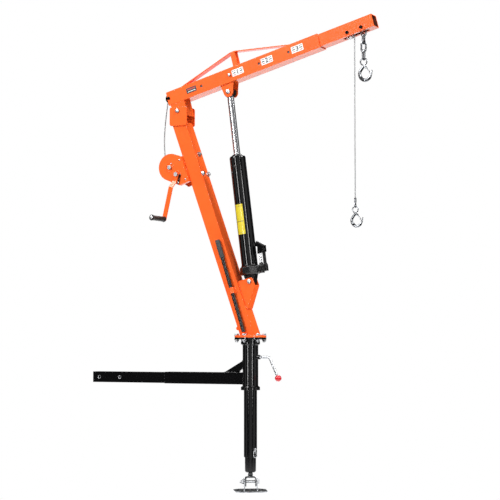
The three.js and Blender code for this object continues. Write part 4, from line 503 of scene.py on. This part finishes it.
def bead(name, points, radius, body, closed=False):
    """A weld bead: a low rippled rib that follows the seam, thicker and thinner as a hand lays it."""
    if closed:
        points = [*points, points[0]]
    route, _ = resampled(points, BEAD_STEP)
    if closed:
        route = route[:-1]
    sizes = [radius * MM * (1 + 0.16 * math.sin(i * 1.9) + rng.uniform(-0.09, 0.09)) for i in range(len(route))]
    route = [p + Vector([rng.uniform(-0.18, 0.18) * MM for _ in range(3)]) for p in route]
    bm = bmesh.new()
    tube(bm, route, lambda i, _: sizes[i], sides=8, closed=closed)
    piece(name, bm, BEAD_LOOKS[body], body, limit=ROUND)


def ring_points(centre, u, v, radius, count, start=0.0, end=2 * math.pi):
    """Points on an arc of a radius in mm from u towards v; a whole circle leaves out its last point."""
    span = end - start
    whole = abs(span - 2 * math.pi) < 1e-6
    angles = (start + span * i / count for i in range(count + (0 if whole else 1)))
    return [centre + u * (radius * MM * math.cos(a)) + v * (radius * MM * math.sin(a)) for a in angles]


def hexagon(bm, across_flats, z0, z1):
    """A hexagonal nut standing on Z, with its corners chamfered by a cone."""
    radius = across_flats / 2 / math.cos(math.pi / 6)
    chamfer, sides = 1.2, 24
    rows = []
    for z, share in ((z0, 1.0), (z1 - chamfer, 1.0), (z1, 1 - chamfer / radius * 1.2)):
        row = []
        for j in range(sides):
            angle = 2 * math.pi * j / sides
            nearest = (angle + math.pi / 6) % (math.pi / 3) - math.pi / 6
            reach = min(across_flats / 2 / math.cos(nearest), radius * share)
            row.append(Vector((reach * math.cos(angle), reach * math.sin(angle), z)) * MM)
        rows.append(row)
    skin(bm, rows)


def facing(place, direction):
    """Matrix that stands local Z along direction at a place."""
    return Matrix.Translation(place) @ Z.rotation_difference(Vector(direction)).to_matrix().to_4x4()


def plate_on(matrix, name, centre, size, y, thickness, corner, material, body):
    """A thin plate with rounded corners on a side face: centre and size in the frame's X and Z."""
    outline = []
    for sx, sz, first in ((1, 1, 0), (-1, 1, 1), (-1, -1, 2), (1, -1, 3)):
        for k in range(5):
            angle = math.pi / 2 * (first + k / 4)
            outline.append((sx * (size[0] / 2 - corner) + corner * math.cos(angle),
                            sz * (size[1] / 2 - corner) + corner * math.sin(angle)))
    place = at(matrix)
    bm = bmesh.new()
    skin(bm, [[place(centre[0] + x * share, y - depth, centre[1] + z * share) for x, z in outline]
              for depth, share in ((0.0, 1.0), (thickness * 0.7, 1.0), (thickness, 0.985))])
    piece(name, bm, material, body)


# ---------------------------------------------------------------- wire rope

# Spots (x, z) in metres of the ropes' middle lines, in the crane's middle plane
RUN = [
    (-0.44723, 1.5024), (-0.45493, 1.53594), (-0.46015, 1.56996), (-0.46313, 1.60436), (-0.46412, 1.63903),
    (-0.46338, 1.67387), (-0.46114, 1.70878), (-0.45766, 1.74366), (-0.45319, 1.77841), (-0.44798, 1.81292),
    (-0.44226, 1.84709), (-0.44164, 1.84968), (-0.44069, 1.85217), (-0.43944, 1.85452), (-0.43789, 1.85669),
    (-0.43608, 1.85864), (-0.43403, 1.86034), (-0.43178, 1.86177), (-0.42937, 1.8629), (-0.42683, 1.86372),
    (0.47335, 2.08968),
]
DROP = [
    (0.49857, 2.09601), (0.50336, 2.09671), (0.50818, 2.09644), (0.51286, 2.0952), (0.51719, 2.09305),
    (0.52101, 2.09007), (0.52415, 2.0864), (0.52648, 2.08216), (0.52793, 2.07755), (0.52841, 2.07273),
    (0.52841, 1.3273),
]
ROPE, ROPE_LAY, ROPE_STEP, STRANDS = 0.005, 0.030, 0.0022, 6
# Axes of the winch in the mast's frame
DRUM_X, DRUM_Z, CRANK_X, CRANK_Z = -108, 885, -81, 837


def rope_route(spots):
    """Smooth curve through spots. A long straight stretch gets spots of its own, so that it stays straight."""
    points, filled = [Vector((x, 0, z)) for x, z in spots], []
    for a, b in zip(points, points[1:]):
        filled.append(a)
        count = int((b - a).length / 0.06)
        filled.extend(a.lerp(b, i / (count + 1)) for i in range(1, count + 1))
    return smoothed([*filled, points[-1]])


def coil(radius, start, y, pitch, turns, per_turn):
    """Points of a rope round the drum: its radius, start angle, start Y and the Y gained in each turn."""
    out = []
    for k in range(round(turns * per_turn) + 1):
        angle = start + 2 * math.pi * k / per_turn
        out.append(M(DRUM_X + radius * math.cos(angle), y + pitch * k / per_turn, DRUM_Z + radius * math.sin(angle)))
    return out


def rope_piece(name, points, body, replaced=None):
    """A stranded rope and its length: the section has a lobe for each strand and turns once in a lay."""
    route, length = resampled(points, ROPE_STEP)
    turn = 2 * math.pi / ROPE_LAY * length / (len(route) - 1)

    def lobes(i, angle):
        return ROPE / 2 * (0.90 + 0.16 * abs(math.cos((angle + i * turn) * STRANDS / 2)))

    bm = bmesh.new()
    tube(bm, route, lobes, sides=STRANDS * 4)
    obj = piece(name, bm, "rope", body, shade=False)
    for polygon in obj.data.polygons:
        polygon.use_smooth = True
    if replaced:
        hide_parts(replaced)
    return obj, length


run_route, drop_route = rope_route(RUN), rope_route(DROP)
winding_points = coil(radius=43.17, start=3.05751, y=0, pitch=-5.7, turns=4.5, per_turn=48)[::-1]
winding, winding_length = rope_piece("rope_winding", winding_points, "drum", "drum_winding")
rope_run, run_length = rope_piece("rope_along_boom", run_route, "column", "rope_run")
rope_run.parent = None
rope_run.matrix_world = Matrix.Identity(4)
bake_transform(rope_run)
rope_drop, drop_length = rope_piece("rope_hanging", drop_route, "rope_end", "rope_drop")

# Turns of the layer below show beside the outer layer, sunk in the barrel's core
rope_piece("rope_lower_layer", coil(radius=39.2, start=0, y=4.0, pitch=5.4, turns=4.975, per_turn=40), "drum")

# ---------------------------------------------------------------- the solids' own looks

SLOTS = {row["node"]: row["material_slot"] for row in frame["record"]["subparts"]}
LINKS = {f"chain_link_{number}" for number in range(1, 5)}
ROUND_WIRE = {*LINKS, "chain_hook", "rope_hook", "rope_ferrule", "lock_handle", "leg_pin", "lock_knob"}
FORGED = {*LINKS, "chain_hook", "chain_hook_latch", "rope_hook", "rope_hook_latch", "rope_ferrule"}
OTHER = {**dict.fromkeys(FORGED, "steel"), "foot_yoke": "dark_steel", "pawl": "dark_steel",
         "foot_plate": "plate_steel", "handle_rod": "satin_black"}
for name, obj in NODES.items():
    obj.data.materials.clear()
    obj.data.materials.append(EXTRA[OTHER[name]] if name in OTHER else LOOKS[SLOTS[name]])
    smooth(obj, ROUND if name in ROUND_WIRE else PLAIN)

# ---------------------------------------------------------------- chain hook, links and lock screw

# Forged hook with an eye and a lug for its latch: spine below the eye as shares of the hook's size,
# across, half thickness and height
HOOK_SPINE = [
    (0, 0.11, -0.52), (0, 0.2, -0.66), (-0.06, 0.23, -0.85), (-0.36, 0.24, -1.2), (-0.65, 0.25, -1.65),
    (-0.7, 0.26, -2.1), (-0.42, 0.29, -2.68), (0.24, 0.3, -3.04), (0.94, 0.25, -2.76), (1.26, 0.17, -2.16),
    (1.43, 0.1, -1.56), (1.455, 0.07, -1.49), (1.46, 0.02, -1.46),
]
HOOK_SIZE, CHAIN_X, HOOK_Z = 28, 572.09, 1939.52
spine = smoothed([Vector(p) * HOOK_SIZE for p in HOOK_SPINE], 8)
bm = bmesh.new()
tube(bm, [W(CHAIN_X + p.x, 0, HOOK_Z + p.z) for p in spine], lambda i, _: spine[i].y * MM, sides=28)
tube(bm, ring_points(W(CHAIN_X, 0, HOOK_Z), X, Z, 0.56 * HOOK_SIZE, 56), 0.11 * HOOK_SIZE * MM, sides=18, closed=True)
hook = piece("forged_chain_hook", bm, "steel", "chain_hook_body", limit=ROUND)
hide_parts("chain_hook")
plate_on(Matrix.Identity(4), "forged_chain_hook_lug", (CHAIN_X + 0.17 * HOOK_SIZE, HOOK_Z - 0.9 * HOOK_SIZE),
         (0.6 * HOOK_SIZE, 0.34 * HOOK_SIZE), 0.09 * HOOK_SIZE, 0.18 * HOOK_SIZE, 0.168 * HOOK_SIZE,
         "steel", "chain_hook_body")

# Links: half a turn round each end and a straight side after it, as (across, up) from the link's middle,
# with the weld's bulge on one side
LINK_WIRE, LINK_BEND, LINK_STRAIGHT = 4.0, 11.0, 11.25
loop = []
for way in (1, -1):
    for k in range(21):
        angle = math.pi * k / 20
        loop.append((way * LINK_BEND * math.cos(angle), way * (LINK_BEND * math.sin(angle) + LINK_STRAIGHT)))
    loop.extend((-way * LINK_BEND, way * LINK_STRAIGHT * (1 - k / 4)) for k in range(1, 8))
bulge = [1 + (0.09 * math.exp(-(up / 2.2) ** 2) if across < -LINK_BEND + 0.01 else 0) for across, up in loop]
for index, z in enumerate((2078.67, 2042.47, 2006.27, 1970.07)):
    turned_across = index % 2
    points = [W(CHAIN_X, a, z + u) if turned_across else W(CHAIN_X + a, 0, z + u) for a, u in loop]
    bm = bmesh.new()
    tube(bm, points, lambda i, _: LINK_WIRE * MM * bulge[i], sides=16, closed=True)
    ring = piece(f"chain_ring_{index + 1}", bm, "steel", f"link_{index + 1}", limit=ROUND)
    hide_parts(f"chain_link_{index + 1}")

# Swivel lock: threaded screw that is bent into its handle
SCREW_TIP, SCREW_CORNER, SCREW_KNOB = Vector((30.6, 0, 614)), Vector((98, 0, 614)), Vector((136, 0, 532))
SCREW_RADIUS, SCREW_BEND = 6.0, 10.2
THREAD_WAVE, THREAD_PITCH, THREAD_END = 0.25, 0.00175, 0.064
down = (SCREW_KNOB - SCREW_CORNER).normalized()
bend = [SCREW_CORNER - X * SCREW_BEND * (1 - k / 10) ** 2 + down * SCREW_BEND * (k / 10) ** 2 for k in range(11)]
rod, _ = resampled([p * MM for p in (SCREW_TIP, *bend, SCREW_KNOB)], 0.0004)


def threaded(i, angle):
    """The screw's radius, which waves once in a pitch up to the thread's end."""
    if rod[i].x >= THREAD_END:
        return SCREW_RADIUS * MM
    wave = math.cos(2 * math.pi * rod[i].x / THREAD_PITCH + angle)
    return (SCREW_RADIUS - THREAD_WAVE + THREAD_WAVE * wave) * MM


bm = bmesh.new()
tube(bm, rod, threaded, sides=20)
screw = piece("lock_screw", bm, "zinc", "lock", limit=ROUND)
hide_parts("lock_handle")

# ---------------------------------------------------------------- labels and plates on the boom

# The boom's near face, the height of its labels' middle, a figure's size and how far it stands off the face
FACE, LABEL_HEIGHT = -33.0, 75
FIGURE_SIZE, FIGURE_LIFT = 31.74, 0.38


def label(name, u, rise, size, lift, thickness, corner, look):
    """A plate on the boom's near face, at a rise over the labels' middle and lifted off the face."""
    plate_on(BOOM_FRAME, name, (u, LABEL_HEIGHT + rise), size, FACE - lift, thickness, corner, look, "boom")


def figure(name, text, u):
    """A plain figure as flat print in the middle of a label."""
    font = bpy.data.curves.new(name, "FONT")
    font.body = text
    font.size = FIGURE_SIZE * MM
    font.align_x, font.align_y = "CENTER", "CENTER"
    font.extrude = 0.05 * MM
    font.offset = 0.9 * MM
    outline = bpy.data.objects.new(name + "_font", font)
    scene.collection.objects.link(outline)
    bpy.context.view_layer.update()
    mesh = bpy.data.meshes.new_from_object(outline.evaluated_get(bpy.context.evaluated_depsgraph_get()))
    bpy.data.objects.remove(outline)
    x, y, z = (value * MM for value in (u, FACE - FIGURE_LIFT, LABEL_HEIGHT))
    mesh.transform(BOOM_FRAME @ Matrix(((1, 0, 0, x), (0, 0, -1, y), (0, 1, 0, z), (0, 0, 0, 1))))
    mesh.name = name
    piece(name, mesh, "dark_print_and_shade", "boom", shade=False)


for number, u in ((1, 350), (2, 507), (3, 668)):
    label(f"label_{number}", u, 0, (61, 31), 0, 0.35, 3.0, "white_label")
    figure(f"label_figure_{number}", str(number), u)
    for side in (-1, 1):
        for row, rise, tall, look in (
            (49, 9.5, 3.4, "dark_print_and_shade"), (30, 0, 5.0, "dark_print_and_shade"), (11, -9.5, 3.4, "red_print"),
        ):
            bar = f"label_bar_{number}_{side + 1}_{row}"
            label(bar, u + side * 19, rise, (15, tall), 0.36, 0.06, 0.9, look)
label("dark_plate", 94, 0, (55, 26), 0, 0.7, 1.6, "dark_plate")
label("dark_plate_bar_1", 94, 5.5, (44, 5.5), 0.7, 0.08, 0.8, "red_print")
label("dark_plate_bar_2", 94, -5.5, (44, 2.6), 0.7, 0.08, 0.8, "white_label")

# Yellow label wrapped on the jack's cylinder, with thin dark lines across it
CYLINDER_RADIUS, LABEL_ANGLE = 37.5, -99


def wrapped(name, reach, z0, z1, lift, material):
    """A band on the cylinder's wall that reaches so many degrees each way from the label's middle."""
    steps, inside, outside = 18, CYLINDER_RADIUS - 0.6, CYLINDER_RADIUS + lift
    rows = []
    for i in range(steps + 1):
        angle = math.radians(LABEL_ANGLE - reach + 2 * reach * i / steps)
        rows.append([J(r * math.cos(angle), r * math.sin(angle), z)
                     for r, z in ((inside, z0), (outside, z0), (outside, z1), (inside, z1))])
    bm = bmesh.new()
    skin(bm, rows)
    piece(name, bm, material, "cylinder", limit=TURNED)


wrapped("jack_label", 32, 221, 361, 0.3, "yellow_label")
for name, low, high in (("line", 280, 282.4), ("top", 352, 353), ("foot", 228, 229)):
    wrapped(f"jack_label_{name}", 30, low, high, 0.36, "dark_print_and_shade")

# ---------------------------------------------------------------- weld beads


def bead_across(name, place, x, y, z, radius, body):
    """A bead across the crane's middle plane, from -y to y."""
    bead(name, [place(x, -y, z), place(x, y, z)], radius, body)


# Seams on both sides: frame, ends (x, z), distance to the side, radius and body
SIDE_SEAMS = {
    "ear": (W, (-397, 1707.4), (-327, 1707.4), 34.6, 1.8, "column"),
    "boss": (B, (-31, 41.2), (43, 41.2), 33.0, 1.2, "boom"),
    "ram_ear": (B, (245, 40.4), (313, 40.4), 27.4, 1.8, "boom"),
    "brace_rear": (B, (13, 107.2), (33, 107.2), 16.2, 1.6, "boom"),
    "brace_front": (B, (632, 107.2), (652, 107.2), 16.2, 1.6, "boom"),
    "bracket": (M, (34.6, 119), (34.6, 251), 24.4, 1.3, "column"),
    "bar": (W, (-24.6, 489), (-24.6, 543), 27.6, 2.0, "hitch_base"),
    "brace_bar": (W, (-128, 544), (-67, 544), 15.4, 1.7, "hitch_base"),
    "brace_sleeve": (W, (-33.4, 562), (-33.4, 597), 15.4, 1.7, "hitch_base"),
}
MAST_HALF, SEAM_GAP = 34.0, 1.2
mast_x, mast_y = MAST_HALF / math.cos(math.radians(MAST_LEAN)) + SEAM_GAP, MAST_HALF + SEAM_GAP
mast_foot = [W(sx * mast_x, sy * mast_y, 714.2) for sx, sy in ((1, 1), (-1, 1), (-1, -1), (1, -1))]
bead("weld_mast_foot", mast_foot, 2.4, "column", closed=True)
for side in (-1, 1):
    for name, (place, start, end, y, radius, body) in SIDE_SEAMS.items():
        bead(f"weld_{name}_{side + 1}", [place(x, side * y, z) for x, z in (start, end)], radius, body)
bead_across("weld_brace_tip", B, 652.6, 16, 107.4, 1.6, "boom")
bead_across("weld_brace_heel", B, 11.4, 16, 107.4, 1.6, "boom")
brace_post = [B(u, y, 107.3) for u, y in ((325.4, -16.6), (350.6, -16.6), (350.6, 16.6), (325.4, 16.6))]
bead("weld_brace_post", brace_post, 1.7, "boom", closed=True)
bead_across("weld_bracket_toe", M, 34.6, 24, 117, 1.9, "column")
bead_across("weld_brace_top", W, -34.2, 15, 597.8, 1.7, "hitch_base")
bead_across("weld_brace_bar_end", W, -129.2, 15, 544, 1.7, "hitch_base")
shank_end = [W(-442.6, y, 516 + z) for y, z in ((-25.8, -25.8), (25.8, -25.8), (25.8, 25.8), (-25.8, 25.8))]
bead("weld_shank", shank_end, 1.5, "hitch_base", closed=True)
for name, height in (("low", 480.3), ("high", 669.7)):
    bead(f"weld_collar_{name}", ring_points(W(0, 0, height), X, Y, 36.4, 60), 1.5, "hitch_base", closed=True)
under_arc = ring_points(W(0, 0, 488.4), X, Y, 36.6, 16, math.radians(180 - 47), math.radians(180 + 47))
bead("weld_bar_under", under_arc, 1.9, "hitch_base")
bead("weld_lock_boss", ring_points(W(36.2, 0, 614), Y, Z, 10.8, 30), 1.3, "hitch_base", closed=True)
for sx in (-1, 1):
    for sy in (-1, 1):
        bead(f"weld_lug_{sx + 1}_{sy + 1}", [F(sx * x, sy * 17.2, 6.2) for x in (26.6, 32)], 1.1, "foot")
    bead_across(f"weld_lug_side_{sx + 1}", F, sx * 32.6, 17, 6.3, 1.3, "foot")

# ---------------------------------------------------------------- small fasteners


def domed(name, place, direction, radius, height, body, rim, material="zinc"):
    """A domed cap with a fine rim, as on a clevis pin or button head."""
    profile = [(radius, 0), (radius, rim)]
    steps = 7
    for i in range(steps + 1):
        angle = math.pi / 2 * i / steps
        profile.append(((radius - 0.4) * math.cos(angle) + 0.02, rim + height * math.sin(angle)))
    turned(name, profile, 28, facing(place, direction), material, body, limit=TURNED)


NUT_FLATS, NUT_HEIGHT, WASHER = 17.9, 8.6, 1.5


def nut_on(name, place, direction, turn):
    """A chamfered nut with a washer under it and a thread end that shows."""
    top, end, rim, face = NUT_HEIGHT + WASHER, NUT_FLATS / 3.1, NUT_FLATS * 0.68, NUT_FLATS * 0.70
    bm = bmesh.new()
    hexagon(bm, NUT_FLATS, WASHER, top)
    skin(bm, [circle(r, z, 20) for r, z in ((end, top - 0.5), (end, top + 1.2), (end - 0.9, top + 2.0))])
    skin(bm, [circle(r, z, 28) for r, z in ((rim, 0), (face, WASHER * 0.3), (face, WASHER * 0.8), (rim, WASHER))])
    matrix = facing(place, direction) @ Matrix.Rotation(math.radians(turn), 4, "Z")
    piece(name, placed(bm, matrix), "zinc", "column", limit=TURNED)


MAST_OUT, MAST_UP = (MAST_FRAME.to_3x3() @ axis for axis in (X, Z))
COVER_FACE = -51.2
domed("pivot_cap_near", W(-369.48, -45.4, 1778.75), NEAR, 9.6, 2.0, "column", rim=0.4)
domed("pivot_cap_far", W(-369.48, 45.4, 1778.75), FAR, 9.6, 2.0, "column", rim=0.4)
domed("ram_pin_cap", B(276, -32.6, 3), NEAR, 10.6, 1.8, "boom", rim=0.3)
domed("jack_pin_cap", M(90.5, -29.4, 231), NEAR, 10.0, 1.8, "column", rim=0.3)
domed("boom_lock_cap", B(306.5, -41.2, 74), NEAR, 7.2, 1.5, "boom_lock", rim=0.3)
for index, (y, s) in enumerate(((0, 898), (-26, 798), (26, 798))):
    nut_on(f"stud_nut_{index + 1}", M(34.05, y, s), MAST_OUT, turn=11 * index)
for index, (x, s) in enumerate(((-47.5, 898), (-48.5, 800), (-95.0, 899))):
    domed(f"cover_screw_{index + 1}", M(x, COVER_FACE, s), NEAR, 4.3, 2.4, "column", rim=0.8)
domed("pawl_stud_cap", M(-88, -57.3, 798), NEAR, 4.6, 1.8, "column", rim=0.4)
domed("crank_hub_cap", M(CRANK_X, -65.6, CRANK_Z), NEAR, 9.4, 2.4, "crank", rim=0.5)

# Raised rings stamped in the gear cover
for name, radius, x, s in (("stamp_axle", 20.0, DRUM_X, DRUM_Z), ("stamp_crank", 16.5, CRANK_X, CRANK_Z)):
    bm = bmesh.new()
    tube(bm, ring_points(M(x, COVER_FACE, s), MAST_OUT, MAST_UP, radius, 44), 1.3 * MM, sides=10, closed=True)
    piece(name, bm, "orange", "column", limit=ROUND)

# Washers under the flange bolts, above and below the flanges
FLANGE_WASHER = [(6.2, 0), (11.2, 0), (11.9, 0.4), (11.9, 1.3), (11.2, 1.7), (6.2, 1.7)]
BOLT_CIRCLE = 63
for index in range(6):
    angle = math.radians(-90 + 60 * index)
    x, y = BOLT_CIRCLE * math.cos(angle), BOLT_CIRCLE * math.sin(angle)
    for name, z, way in (("top", 713.95, (0, 0, 1)), ("low", 695.2, (0, 0, -1))):
        turned(f"flange_washer_{name}_{index + 1}", FLANGE_WASHER, 28, facing(W(x, y, z), way), "zinc", "column",
               ring=True)

# Bare bushes in the hitch pin holes, and discs of painted shade behind the boom's lock pin holes
HITCH_BUSH = [(5.6, -7), (7.95, -7), (7.95, 0.2), (8.6, 0.3), (8.6, 0.8), (6.6, 0.9), (5.6, 0.2)]
LOCK_HOLE_SHADE = [(9.0, -0.6), (9.2, -0.3), (9.0, 0)]
for index, x in enumerate((-810, -694)):
    for side in (-1, 1):
        turned(f"hitch_bush_{index + 1}_{side + 1}", HITCH_BUSH, 36, facing(W(x, side * 25.4, 516), (0, side, 0)),
               "zinc", "hitch_base", ring=True)
# Painted shade: dark discs inside the boom's walls behind its lock pin holes
for index, u in enumerate((149, 464, 621.5)):
    for side in (-1, 1):
        turned(f"lock_hole_shade_{index + 1}_{side + 1}", LOCK_HOLE_SHADE, 28, facing(B(u, side * 29.95, 74), (0, side, 0)),
               "dark_print_and_shade", "boom")

# Rubber collar on the foot's stud
STUD_COLLAR = [(7.2, 75.4), (11.5, 74.6), (12.4, 76.2), (10.2, 79.0), (11.2, 81.5), (9.4, 84.0), (9.8, 86.6),
               (7.2, 87.4)]
turned("stud_collar", STUD_COLLAR, 40, Matrix.Identity(4), "rubber", "foot_neck")

# Painted shade inside the sliding boom's open end: dark liners in the tone of orange paint in shade, on the near and
# far side, low and high side, and start
OPEN_END = 1049.5
for name, y0, y1, low, high, start in (
    ("far", 25.3, 25.9, 48.1, 99.9, 880), ("near", -25.9, -25.3, 48.1, 99.9, 880),
    ("top", -25.2, 25.2, 99.3, 99.9, 880), ("floor", -25.2, 25.2, 48.1, 48.7, 1016),
):
    bm = bmesh.new()
    skin(bm, [[B(u, y, w) for y, w in ((y0, low), (y1, low), (y1, high), (y0, high))]
              for u in (start, (start + OPEN_END) / 2, OPEN_END)])
    piece(f"boom_painted_shade_{name}", bm, "painted_shade_liner", "inner_boom")

# Jack: round shoulder of the cylinder's end, wiper ring on the gland, band above the casting and filler plug
SHOULDER = [(37.45, 578.5), (37.75, 579.0), (37.7, 582.0), (37.1, 585.2), (35.7, 588.1), (33.5, 590.5),
            (30.6, 592.1), (27.6, 592.8), (25.05, 592.8)]
WIPER = [(15.9, 595.2), (23.0, 595.2), (24.0, 596.4), (22.4, 598.4), (17.5, 598.9), (15.9, 598.2)]
BAND = [(37.4, 72.6), (39.2, 73.4), (39.6, 75.5), (38.6, 77.4), (37.4, 78.2)]
turned("jack_shoulder", SHOULDER, 56, JACK_FRAME, "black", "cylinder", limit=TURNED)
turned("jack_wiper", WIPER, 40, JACK_FRAME, "rubber", "cylinder")
turned("jack_band", BAND, 56, JACK_FRAME, "black", "cylinder")
domed("jack_filler", J(0, -37.2, 540), NEAR, 5.6, 1.6, "cylinder", rim=1.4, material="black_plastic")

# ---------------------------------------------------------------- grips

CRANK_TURN = Matrix.Rotation(math.radians(33.4), 4, "Y")
CRANK_FRAME = MAST_FRAME @ Matrix.Translation(Vector((CRANK_X, 0, CRANK_Z)) * MM) @ CRANK_TURN
C = at(CRANK_FRAME)
# The crank's grip: where it starts, its length and its axis, then radii of its body, rolls, end faces and bore
GRIP_START, GRIP_LENGTH, GRIP_AXIS = -89.2, 111.5, -218
GRIP_BODY, GRIP_ROLL, GRIP_FACE, GRIP_BORE = 12.0, 14.2, 13.2, 5.1


def grip_ring(share, radius, flute=0.0):
    """Points round the grip at a share of its length."""
    sides = 60
    ring = []
    for j in range(sides):
        angle = 2 * math.pi * j / sides
        r = radius - flute * max(0.0, math.cos(angle * 12))
        ring.append(C(r * math.cos(angle), GRIP_START - GRIP_LENGTH * share, GRIP_AXIS + r * math.sin(angle)))
    return ring


def grip_mesh():
    """Crank grip: soft waves for the fingers, fine flutes and rolled ends."""
    steps, rings = 84, [grip_ring(0, GRIP_BORE), grip_ring(0, GRIP_FACE)]
    for i in range(1, steps):
        share = i / steps
        to_end = min(share, 1 - share)
        belly = GRIP_BODY + 0.5 * math.cos(share * math.pi * 10) * math.sin(math.pi * share)
        roll = GRIP_ROLL - 22.0 * to_end if to_end < 0.1 else 0
        rings.append(grip_ring(share, max(belly, roll), flute=0.15 if to_end > 0.12 else 0.0))
    rings += [grip_ring(1, GRIP_FACE), grip_ring(1, GRIP_BORE)]
    bm = bmesh.new()
    skin(bm, rings, caps=False)
    return bm


grip = piece("grip_sleeve", grip_mesh(), "black_plastic", "grip", limit=TURNED)
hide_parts("crank_grip")
BOLT_CAP = [(0.02, 1.5), (7.2, 1.4), (8.5, 0.7), (9.0, -0.2), (9.0, -4.8)]
turned("grip_bolt_cap", BOLT_CAP, 32, facing(C(0, -206.6, GRIP_AXIS), CRANK_FRAME.to_3x3() @ NEAR), "zinc", "crank")

# Ribs round the stored handle's grip, which leans in its saddle
HANDLE_LEAN, SADDLE = math.radians(2), 219
FIRST_RIB, RIB_PITCH = 172, 7.6
saddle = Vector((-6 + SADDLE * math.tan(HANDLE_LEAN), -46, SADDLE)) * MM
handle_frame = MAST_FRAME @ Matrix.Translation(saddle) @ Matrix.Rotation(HANDLE_LEAN, 4, "Y")
for index in range(9):
    z = FIRST_RIB + RIB_PITCH * index
    rib = [(10.8, z - 1.7), (11.5, z - 0.8), (11.6, z), (11.5, z + 0.8), (10.8, z + 1.7)]
    turned(f"handle_rib_{index + 1}", rib, 28, handle_frame, "rubber", "handle")

# ---------------------------------------------------------------- floor and light

bm = bmesh.new()
bmesh.ops.create_circle(bm, cap_ends=True, radius=1.8, segments=96)
floor_mesh = bpy.data.meshes.new("floor")
bm.to_mesh(floor_mesh)
bm.free()
floor = bpy.data.objects.new("floor", floor_mesh)
floor.location.z = -0.0004
scene.collection.objects.link(floor)
n = Paint("floor")
paper = n.ramp(n.noise(9.0, 4.0), 0.3, 0.7)
n.set(Base_Color=n.mixed(paper, (0.9, 0.9, 0.9), (0.87, 0.87, 0.875)), Roughness=0.85, Specular_IOR_Level=0.1,
      Emission_Color=(1, 1, 1), Emission_Strength=0.36)
# The disc lights the crane as a wide floor, and is drawn only round the foot, so that it doesn't hide a leg
# that is drawn out below it
reach = n.node("ShaderNodeVectorMath", {0: n.place}, operation="LENGTH").outputs["Value"]
drawn = n.node("ShaderNodeLightPath").outputs["Is Camera Ray"]
wide, narrow = n.ramp(reach, 0.6, 1.7, 1.0, 0.0), n.ramp(reach, 0.07, 0.12, 1.0, 0.0)
n.set(Alpha=n.plus(n.times(wide, n.rest(drawn)), n.times(narrow, drawn)))
floor_mesh.materials.append(n.material)

world = bpy.data.worlds.new("studio")
scene.world = world
world.use_nodes = True
sky = Nodes(world.node_tree, "Generated")


def combined(operation, first, *others):
    """Values of the sky joined one by one by an operation."""
    for other in others:
        first = sky.node("ShaderNodeMath", {0: first, 1: other}, operation=operation).outputs[0]
    return first


# What lights and mirrors in the crane: a low bright patch behind it, three upright panels at azimuths in degrees
# round it, and a faint glow all over. The camera sees plain white instead.
PATCH, PANELS, GLOW = 1.85, 0.45, 0.05
east, north, up = sky.node("ShaderNodeSeparateXYZ", {0: sky.place}).outputs
patch = combined("MULTIPLY", sky.ramp(up, -0.08, -0.2), sky.ramp(north, 0.3, 0.6), sky.ramp(east, 0.15, -0.1), PATCH)
bearing = combined("ARCTAN2", east, combined("MULTIPLY", north, -1.0))
bands = [combined("MULTIPLY", sky.ramp(bearing, math.radians(start), math.radians(start + 3)),
                  sky.ramp(bearing, math.radians(end), math.radians(end - 3)))
         for start, end in ((-62, -38), (8, 48), (80, 120))]
panels = combined("MULTIPLY", combined("ADD", *bands), sky.ramp(up, 0.62, 0.52), sky.ramp(up, -0.35, -0.2), PANELS)
fill = sky.node("ShaderNodeBackground", {"Color": combined("ADD", patch, panels, GLOW), "Strength": 1.0})
seen = sky.tree.nodes["Background"]
seen.inputs["Color"].default_value = (1, 1, 1, 1)
seen.inputs["Strength"].default_value = 1.0
camera_ray = sky.node("ShaderNodeLightPath").outputs["Is Camera Ray"]
mix = sky.node("ShaderNodeMixShader", {0: camera_ray, 1: fill.outputs[0], 2: seen.outputs[0]})
sky.tree.links.new(mix.outputs[0], sky.tree.nodes["World Output"].inputs["Surface"])


def area(name, azimuth, height, distance, size, watts, middle=(0, 0, 1.15)):
    """A soft box at an azimuth in degrees round the crane, aimed at its middle."""
    lamp = bpy.data.lights.new(name, "AREA")
    lamp.shape = "RECTANGLE"
    lamp.size, lamp.size_y = size
    lamp.energy = watts
    obj = bpy.data.objects.new(name, lamp)
    scene.collection.objects.link(obj)
    a = math.radians(azimuth)
    obj.location = Vector((math.sin(a) * distance, -math.cos(a) * distance, height))
    aim(obj, Vector(middle) - obj.location)


area("key", -34, 4.6, 4.8, (2.0, 2.0), 280)
area("near_strip", -12.4, 1.6, 5.0, (0.42, 2.6), 73)
area("side_strip", 55, 1.6, 5.0, (0.36, 2.6), 65)
area("right_box", 98, 4.5, 4.2, (1.8, 1.8), 240)
area("right_front", 62, 5.2, 4.0, (1.6, 1.6), 130)
area("overhead", -69.4, 6.17, 2.02, (0.9, 0.9), 35, middle=(-0.36, -0.08, 1.45))
area("top", 20, 6.0, 0.6, (3.0, 3.0), 40)
area("back", 200, 4.8, 4.4, (2.2, 2.2), 120)

scene.view_settings.view_transform = "Standard"
scene.view_settings.look = "None"
